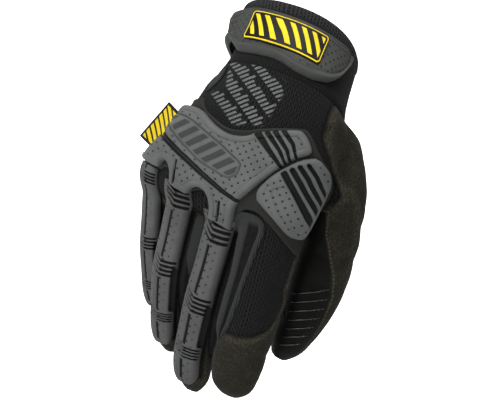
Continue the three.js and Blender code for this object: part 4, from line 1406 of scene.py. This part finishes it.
def plain_print(w, place):
    """Rows of plain grey bars of uneven length, laid out slanting across the back of the hand."""
    across = w.node("ShaderNodeVectorMath", operation="DOT_PRODUCT")
    w.link(place, across.inputs[0])
    slant = math.radians(33)
    bar_step, row_step = 0.0027, 0.0098
    along_row = VIEW_RIGHT * math.cos(slant) + np.array([0, 0, -1]) * math.sin(slant)
    down_row = -VIEW_RIGHT * math.sin(slant) + np.array([0, 0, -1]) * math.cos(slant)
    across.inputs[1].default_value = along_row / bar_step
    down = w.node("ShaderNodeVectorMath", operation="DOT_PRODUCT")
    w.link(place, down.inputs[0])
    down.inputs[1].default_value = down_row / row_step
    row = w.math("FLOOR", down.outputs["Value"])
    in_row = w.math("FRACT", down.outputs["Value"])
    shifted = w.math("ADD", across.outputs["Value"], w.math("ADD", w.math("MULTIPLY", row, 0.37), in_row))
    column = w.math("FLOOR", shifted)
    cell = w.node("ShaderNodeCombineXYZ")
    w.link(column, cell.inputs[0])
    w.link(row, cell.inputs[1])
    chance = w.node("ShaderNodeTexWhiteNoise", noise_dimensions="2D")
    w.link(cell.outputs[0], chance.inputs["Vector"])
    middle = w.math("ABSOLUTE", w.math("SUBTRACT", w.math("FRACT", shifted), 0.5))
    bar = w.math("SUBTRACT", 1.0, w.smooth(middle, 0.24, 0.3))
    top = w.math("MULTIPLY", chance.outputs["Value"], 0.35)
    foot = w.math("SUBTRACT", 1.0, w.smooth(in_row, 0.8, 0.84))
    tall = w.math("MULTIPLY", w.smooth(in_row, top, w.math("ADD", top, 0.04)), foot)
    return w.math("MULTIPLY", w.math("MULTIPLY", bar, tall), mark(w, "printed"))


def knit_finish(name, colour, rib, stitch, with_print=False, with_rim=False):
    material, w, shader, place = start_material(name, 0.9, 0.06, 0.04)
    ribs = group_node(w, "ribs", Vector=lay_map(w), Rib=rib, Stitch=stitch)
    grain = group_node(w, "grain", Vector=place, Fine=2500.0, Coarse=60.0)
    low = tint(colour, 0.35)
    tone = w.mix(ribs.outputs["Top"], low, tint(colour, 1.35))
    tone = w.mix(w.math("MULTIPLY", grain.outputs["Fine"], 0.3), tone, tint(colour, 0.8))
    if with_print:
        tone = w.mix(w.math("MULTIPLY", plain_print(w, place), 0.8), tone, colours().printed)
    height = w.math("ADD", ribs.outputs["Top"], w.math("MULTIPLY", grain.outputs["Fine"], 0.3))
    if with_rim:
        rim = mark(w, "rim")
        coarse = group_node(w, "ribs", Vector=lay_map(w), Rib=0.0026, Stitch=0.0021)
        woven = w.mix(coarse.outputs["Top"], colour, tint(colour, 3.4))
        tone = w.mix(rim, tone, woven)
        height = w.math("ADD", height, w.math("MULTIPLY", coarse.outputs["Top"], rim))
    # The seam mark darkens the seams between panels, and on the roll it paints shade into the opening
    deep = tint(colour, 0.1)
    w.link(w.mix(w.math("MULTIPLY", mark(w, "seam"), 0.95), tone, deep), shader.inputs["Base Color"])
    bump(w, shader, height, 0.0006)
    return material


def rubber_finish(name, colour, dark, roughness, dot_scale=1.0, with_shaded_flank=False):
    material, w, shader, place = start_material(name, roughness, 0.12)
    pitch = settings().dot_pitch * dot_scale
    dots = group_node(w, "dots", Vector=lay_map(w), Pitch=pitch, Radius=settings().dot_size)
    grain = group_node(w, "grain", Vector=place, Fine=1800.0, Coarse=55.0)
    plain = mark(w, "plain")
    shown = w.math("MULTIPLY", dots.outputs["Mask"], w.math("SUBTRACT", 1.0, plain, clamp=True))
    shade = w.mix(w.smooth(grain.outputs["Coarse"], 0.3, 0.7), tint(colour, 0.88), tint(colour, 1.1))
    # Painted shade: the finger guards' sloping side is darkened
    if with_shaded_flank:
        shade = w.mix(mark(w, "shaded_flank"), shade, tint(colour, 0.55))
    # Painted shade: the dots' pits and, below, the grooves take the dark shade colour; the block mark is the
    # emblem's own dark fill
    dotted = w.mix(w.math("MULTIPLY", shown, 0.85), shade, dark)
    dotted = w.mix(w.math("MULTIPLY", mark(w, "block"), 0.85), dotted, tint(colour, 0.3))
    groove_shaded = w.mix(w.smooth(mark(w, "groove"), 0.25, 0.75), dotted, dark)
    w.link(groove_shaded, shader.inputs["Base Color"])
    height = w.math("SUBTRACT", w.math("MULTIPLY", grain.outputs["Fine"], 0.12), shown)
    bump(w, shader, height, 0.0004)
    return material


def badge_finish(name, colour, dark):
    material, w, shader, place = start_material(name, 0.5, 0.15)
    grain = group_node(w, "grain", Vector=place, Fine=1500.0, Coarse=80.0)
    paint = w.smooth(mark(w, "paint"), 0.35, 0.65)
    worn = w.mix(w.smooth(grain.outputs["Coarse"], 0.35, 0.75), colour, tint(colour, 0.8))
    w.link(w.mix(paint, dark, worn), shader.inputs["Base Color"])
    bump(w, shader, grain.outputs["Fine"], 0.0001)
    return material


def gloss_finish(name, colour, roughness):
    material, w, shader, place = start_material(name, roughness, 0.6)
    grain = group_node(w, "grain", Vector=place, Fine=900.0, Coarse=120.0)
    w.link(w.mix(grain.outputs["Coarse"], tint(colour, 0.7), tint(colour, 1.25)), shader.inputs["Base Color"])
    bump(w, shader, grain.outputs["Fine"], 0.00012)
    return material


def tab_finish(name, colour, dark):
    """Woven yellow cloth with a dark edge and thin slanted bars."""
    material, w, shader, _ = start_material(name, 0.8, 0.15, 0.05)
    split = w.node("ShaderNodeSeparateXYZ")
    w.link(lay_map(w), split.inputs[0])
    x, y = split.outputs[0], split.outputs[1]
    edge = w.math("MAXIMUM", w.math("SUBTRACT", w.math("ABSOLUTE", y), 0.0129),
                  w.math("SUBTRACT", w.math("ABSOLUTE", x), 0.0082))
    slanted = w.math("FRACT", w.math("MULTIPLY", w.math("ADD", y, w.math("MULTIPLY", x, 0.6)), 240.0))
    bars = w.smooth(w.math("ABSOLUTE", w.math("SUBTRACT", slanted, 0.5)), 0.2, 0.14)
    inside = w.smooth(edge, 0.0, -0.0003)
    field = w.math("MULTIPLY", inside, w.math("SUBTRACT", 1.0, bars))
    weave = w.math("SINE", w.math("MULTIPLY", w.math("ADD", x, y), 9000.0))
    w.link(w.mix(field, dark, colour), shader.inputs["Base Color"])
    bump(w, shader, weave, 0.0001)
    return material


finishes = {}


def finish(name):
    """A finish by its name, made the first time that it is asked for."""
    c = colours()
    makers = {
        "suede": lambda: suede_finish("Brown black suede", c.suede, c.thumb, 0.95, 0.0003),
        "thumb": lambda: suede_finish("Thumb suede and smooth leather", c.suede, c.thumb, 0.95, 0.0002),
        "knit": lambda: knit_finish("Ribbed knit", c.knit, 0.00145, 0.003, with_print=True),
        "cuff": lambda: knit_finish("Cuff knit", c.knit, 0.0014, 0.0012, with_rim=True),
        "stretch": lambda: knit_finish("Stretch side cloth", c.stretch, 0.0008, 0.0008),
        "strap": lambda: rubber_finish("Strap rubber", c.strap, c.shadow, 0.5, dot_scale=1.15),
        "flange": lambda: rubber_finish("Flange rubber", c.flange, c.shadow, 0.6),
        "guard": lambda: rubber_finish("Guard rubber", c.guard, c.shadow, 0.55),
        # The finger guards take the guard rubber in a darker colour, as painted shade
        "finger_guard": lambda: rubber_finish("Shaded finger guard rubber", c.finger_guard, c.shadow, 0.55,
                                              with_shaded_flank=True),
        "grip": lambda: gloss_finish("Glossy grip rubber", c.grip, 0.2),
        "badge": lambda: badge_finish("Badge yellow", c.yellow, c.shadow),
        "tab": lambda: tab_finish("Tab webbing", c.yellow, c.shadow),
    }
    if name not in finishes:
        finishes[name] = makers[name]()
    return finishes[name]


def soft_light(name, place, target, size, power):
    data = bpy.data.lights.new(name, "AREA")
    data.shape = "RECTANGLE"
    data.size, data.size_y = size
    data.energy = power
    lamp = bpy.data.objects.new(name, data)
    bpy.context.collection.objects.link(lamp)
    lamp.location = place
    lamp.rotation_euler = (Vector(target) - Vector(place)).to_track_quat("-Z", "Y").to_euler()
    return lamp


def length_property(label, words, default):
    return FloatProperty(name=label, description=words, default=default,
                         unit="LENGTH", subtype="DISTANCE", precision=5)


class GloveSizes(bpy.types.PropertyGroup):
    skin_detail: length_property("Cloth detail", "Size of the cloth's facets", 0.0012)
    cloth_wall: length_property("Cloth wall", "Thickness of the cloth", 0.0016)
    seam_dip: length_property("Seam depth", "How deep the cloth sinks at its seams", 0.0006)
    flange_wall: length_property("Flange", "Thickness of the flange under the guards", 0.001)
    guard_height: length_property("Guard height", "Height of the knuckle guard over its flange", 0.0036)
    groove_depth: length_property("Groove depth", "Depth of the grooves in the guards", 0.0019)
    block_pitch: length_property("Block pitch", "Step of the raised blocks on the knuckle guard", 0.0072)
    finger_guard_height: length_property("Finger guard height", "Height of the guards on the fingers", 0.0036)
    finger_guard_angle: FloatProperty(
        name="Finger guard reach", description="Degrees round the finger, each way",
        default=44.0, min=20.0, max=60.0)
    dot_pitch: length_property("Dot pitch", "Step of the moulded dots", 0.0037)
    dot_size: FloatProperty(
        name="Dot size", description="Radius of a dot as a share of its step",
        default=0.13, min=0.02, max=0.4, subtype="FACTOR")
    strap_thickness: length_property("Strap thickness", "Thickness of the wrist strap", 0.0032)
    badge_thickness: length_property("Badge thickness", "Thickness of the plate on the strap", 0.0012)
    bar_pitch: length_property("Bar pitch", "Step of the slanted bars on the plate", 0.0078)
    grip_height: length_property("Grip height", "Height of the grips on the thumb", 0.0011)


def colour_property(label, words, default):
    return FloatVectorProperty(name=label, description=words, default=default,
                               size=3, min=0, max=1, subtype="COLOR")


class GloveColours(bpy.types.PropertyGroup):
    suede: colour_property("Suede", "Colour of the suede palm", (0.0275, 0.0252, 0.0186))
    thumb: colour_property("Thumb leather", "Colour of the thumb", (0.0045, 0.0045, 0.0039))
    knit: colour_property("Knit", "Colour of the knitted back", (0.009, 0.0092, 0.0096))
    stretch: colour_property("Side cloth", "Colour of the cloth between the fingers", (0.036, 0.0375, 0.0375))
    strap: colour_property("Strap", "Colour of the wrist strap", (0.05, 0.0525, 0.0485))
    flange: colour_property("Flange", "Colour of the flange under the guards", (0.0205, 0.0213, 0.0186))
    guard: colour_property("Guards", "Colour of the knuckle guard and side pad", (0.101, 0.106, 0.103))
    # The guard rubber painted darker, as shade on the fingers
    finger_guard: colour_property(
        "Finger guards", "Colour of the guards on the fingers", (0.082, 0.0845, 0.0825))
    # Painted shade for the grooves, slits and dot pits of the moulded rubber; the plate and the tab take it
    # as their own black
    shadow: colour_property("Grooves", "Colour in the grooves and dots", (0.006, 0.0065, 0.006))
    grip: colour_property("Grips", "Colour of the grips on the thumb", (0.008, 0.008, 0.0075))
    printed: colour_property("Print", "Colour of the plain bars on the knit", (0.17, 0.175, 0.175))
    yellow: colour_property("Yellow", "Colour of the plate's border and bars", (0.84, 0.62, 0.012))
    stage: colour_property("Stage", "Colour of the floor and backdrop", (0.93, 0.93, 0.93))


class GLOVE_OT_cloth(bpy.types.Operator):
    """Builds the cloth and leather panels of the hand, fingers and thumb"""

    bl_idname = "glove.cloth"
    bl_label = "Cloth Panels"

    def execute(self, context):
        cloth_panels()
        keep(panel_piece("palm_leather", finish("suede")), "suede", "palm_leather")
        keep(panel_piece("thumb_leather", finish("thumb")), "suede", "thumb_leather")
        keep(panel_piece("back_knit", finish("knit")), "knit", "back_knit")
        for name in SIDE_WALLS:
            keep(panel_piece(name, finish("stretch")), "stretch_side", name)
        keep(build_roll(finish("stretch")), "stretch_side")
        for near, far in LEAVES:
            keep(build_leaf(near, far, finish("stretch")), "stretch_side")
        bm = patch(rounded_outline(GUSSET_OUTLINE), 0.0001, gusset_shape, cuts=1, front_only=True)
        keep(add_piece("wrist_gusset", bm, finish("stretch")), "stretch_side")
        return {"FINISHED"}


class GLOVE_OT_cuff(bpy.types.Operator):
    """Builds the knitted cuff with its rolled rim"""

    bl_idname = "glove.cuff"
    bl_label = "Cuff"

    def execute(self, context):
        keep(build_cuff(finish("cuff")), "knit", "cuff_band")
        return {"FINISHED"}


class GLOVE_OT_strap(bpy.types.Operator):
    """Builds the wrist strap and its plate"""

    bl_idname = "glove.strap"
    bl_label = "Strap and Plate"

    def execute(self, context):
        keep(build_strap(finish("strap")), "strap_rubber", "cuff_strap")
        keep(build_badge(finish("badge")), "badge", "strap_badge")
        return {"FINISHED"}


class GLOVE_OT_knuckle_guards(bpy.types.Operator):
    """Builds the flange, the knuckle guard and the side pad"""

    bl_idname = "glove.knuckle_guards"
    bl_label = "Knuckle Guards"

    def execute(self, context):
        flange_wall = settings().flange_wall
        cuts = 2
        bm = patch(rounded_outline(FLANGE_OUTLINE), 0.0002, flange_shape, cuts=1)
        keep(add_piece("guard_base_flange", bm, finish("flange")), "flange_rubber", "guard_base")
        bm = patch(rounded_outline(KNUCKLE_OUTLINE), flange_wall, knuckle_shape, cuts=cuts)
        keep(add_piece("knuckle_guard_moulded", bm, finish("guard")), "guard_rubber", "knuckle_guard")
        bm = patch(rounded_outline(SIDE_OUTLINE, (0.16, 0.25)), flange_wall, side_shape, cuts=cuts)
        keep(add_piece("side_guard_moulded", bm, finish("guard")), "guard_rubber", "side_guard")
        return {"FINISHED"}


class GLOVE_OT_finger_guards(bpy.types.Operator):
    """Builds the ribbed guards down the fingers"""

    bl_idname = "glove.finger_guards"
    bl_label = "Finger Guards"

    def execute(self, context):
        for name in GUARDED_FINGERS:
            bm, marks, lay = finger_guard_bm(name)
            piece = add_piece(f"finger_guard_{name}_moulded", bm, finish("finger_guard"))
            for key, value in marks.items():
                set_attribute(piece.data, key, value.ravel())
            set_uv(piece.data, lay.reshape(-1, 2))
            keep(piece, "guard_rubber", f"finger_guard_{name}")
        return {"FINISHED"}


class GLOVE_OT_trims(bpy.types.Operator):
    """Builds the grips on the thumb and the tab in the side seam"""

    bl_idname = "glove.trims"
    bl_label = "Grips and Tab"

    def execute(self, context):
        for n, piece in enumerate(build_grips(finish("grip"))):
            keep(piece, "grip_rubber", f"thumb_grip_{n + 1}")
        keep(build_tab(finish("tab")), "tab_cloth", "side_tab")
        return {"FINISHED"}


class GLOVE_OT_stage(bpy.types.Operator):
    """Builds the pale floor and backdrop, the soft lights and the camera"""

    bl_idname = "glove.stage"
    bl_label = "Stage"

    def execute(self, context):
        # The floor runs back, sweeps up and goes on as a wall
        sweep, sweep_from = 0.9, 0.5
        profile = [(-1.6, FLOOR_HEIGHT), (sweep_from, FLOOR_HEIGHT)]
        for turn in np.linspace(0, math.pi / 2, 12)[1:]:
            back, rise = sweep * math.sin(turn), sweep * (1 - math.cos(turn))
            profile.append((sweep_from + back, FLOOR_HEIGHT + rise))
        profile.append((sweep_from + sweep, 3.0))
        reach = np.linspace(-3, 3, 3)
        points = np.array([[x * VIEW_RIGHT - y * VIEW_OUT + (0, 0, z) for x in reach] for y, z in profile])
        bm = mesh_grid(points)
        material, w, shader, place = start_material("Pale stage", 0.9, 0.1)
        tone = w.noise(place, 2.0)
        stage = colours().stage
        pale = w.mix(tone, stage, tint(stage, 0.99))
        w.link(pale, shader.inputs["Base Color"])
        w.link(pale, shader.inputs["Emission Color"])
        # It glows where the camera sees it, and gives the glove little light
        seen = w.node("ShaderNodeLightPath").outputs["Is Camera Ray"]
        w.link(w.math("ADD", seen, 0.1), shader.inputs["Emission Strength"])
        bpy.context.scene.view_settings.view_transform = "Standard"
        floor = add_piece("floor", bm, material)
        world = bpy.data.worlds.new("Soft sky")
        bpy.context.scene.world = world
        world.use_nodes = True
        world.node_tree.nodes["Background"].inputs[0].default_value = (1, 1, 1, 1)
        world.node_tree.nodes["Background"].inputs[1].default_value = 0.22
        right, out, up = Vector(VIEW_RIGHT), Vector(VIEW_OUT), Vector((0, 0, 1))
        middle = Vector((0.02, -0.016, -0.106))
        soft_light("key", middle + out * 0.6 - right * 0.65 + up * 0.7, middle, (0.5, 0.5), 12)
        soft_light("fill", middle + out * 0.6 + right * 0.8 + up * 0.1, middle, (0.5, 0.8), 1.2)
        soft_light("back wash", middle - out * 0.1 + up * 1.3, middle - out * 0.9, (1.4, 1.4), 10)
        data = bpy.data.cameras.new("camera")
        data.lens = CAMERA_LENS
        data.sensor_width = 36
        data.clip_end = 20
        camera = bpy.data.objects.new("camera", data)
        bpy.context.collection.objects.link(camera)
        across = right * math.cos(CAMERA_ROLL) + up * math.sin(CAMERA_ROLL)
        above = up * math.cos(CAMERA_ROLL) - right * math.sin(CAMERA_ROLL)
        turn = Matrix((across, above, out)).transposed().to_4x4()
        camera.matrix_world = Matrix.Translation(Vector(LOOK_AT) + out * CAMERA_DISTANCE) @ turn
        bpy.context.scene.camera = camera
        return {"FINISHED"}


class GLOVE_PT_panel(bpy.types.Panel):
    bl_label = "Padded Work Glove"
    bl_idname = "GLOVE_PT_panel"
    bl_space_type = "VIEW_3D"
    bl_region_type = "UI"
    bl_category = "Glove"

    def draw(self, context):
        layout = self.layout
        for group in (context.scene.glove_sizes, context.scene.glove_colours):
            box = layout.box()
            for key in group.bl_rna.properties.keys():
                if key not in ("rna_type", "name"):
                    box.prop(group, key)
        for operator in OPERATORS:
            layout.operator(operator.bl_idname)


OPERATORS = (
    GLOVE_OT_cloth, GLOVE_OT_cuff, GLOVE_OT_strap, GLOVE_OT_knuckle_guards, GLOVE_OT_finger_guards,
    GLOVE_OT_trims, GLOVE_OT_stage,
)
CLASSES = (GloveSizes, GloveColours, *OPERATORS, GLOVE_PT_panel)


def register():
    for cls in CLASSES:
        bpy.utils.register_class(cls)
    bpy.types.Scene.glove_sizes = PointerProperty(type=GloveSizes)
    bpy.types.Scene.glove_colours = PointerProperty(type=GloveColours)


def unregister():
    del bpy.types.Scene.glove_colours
    del bpy.types.Scene.glove_sizes
    for cls in reversed(CLASSES):
        bpy.utils.unregister_class(cls)


def main():
    register()
    bpy.ops.glove.cloth()
    bpy.ops.glove.cuff()
    bpy.ops.glove.strap()
    bpy.ops.glove.knuckle_guards()
    bpy.ops.glove.finger_guards()
    bpy.ops.glove.trims()
    bpy.ops.glove.stage()


if __name__ == "__main__":
    main()
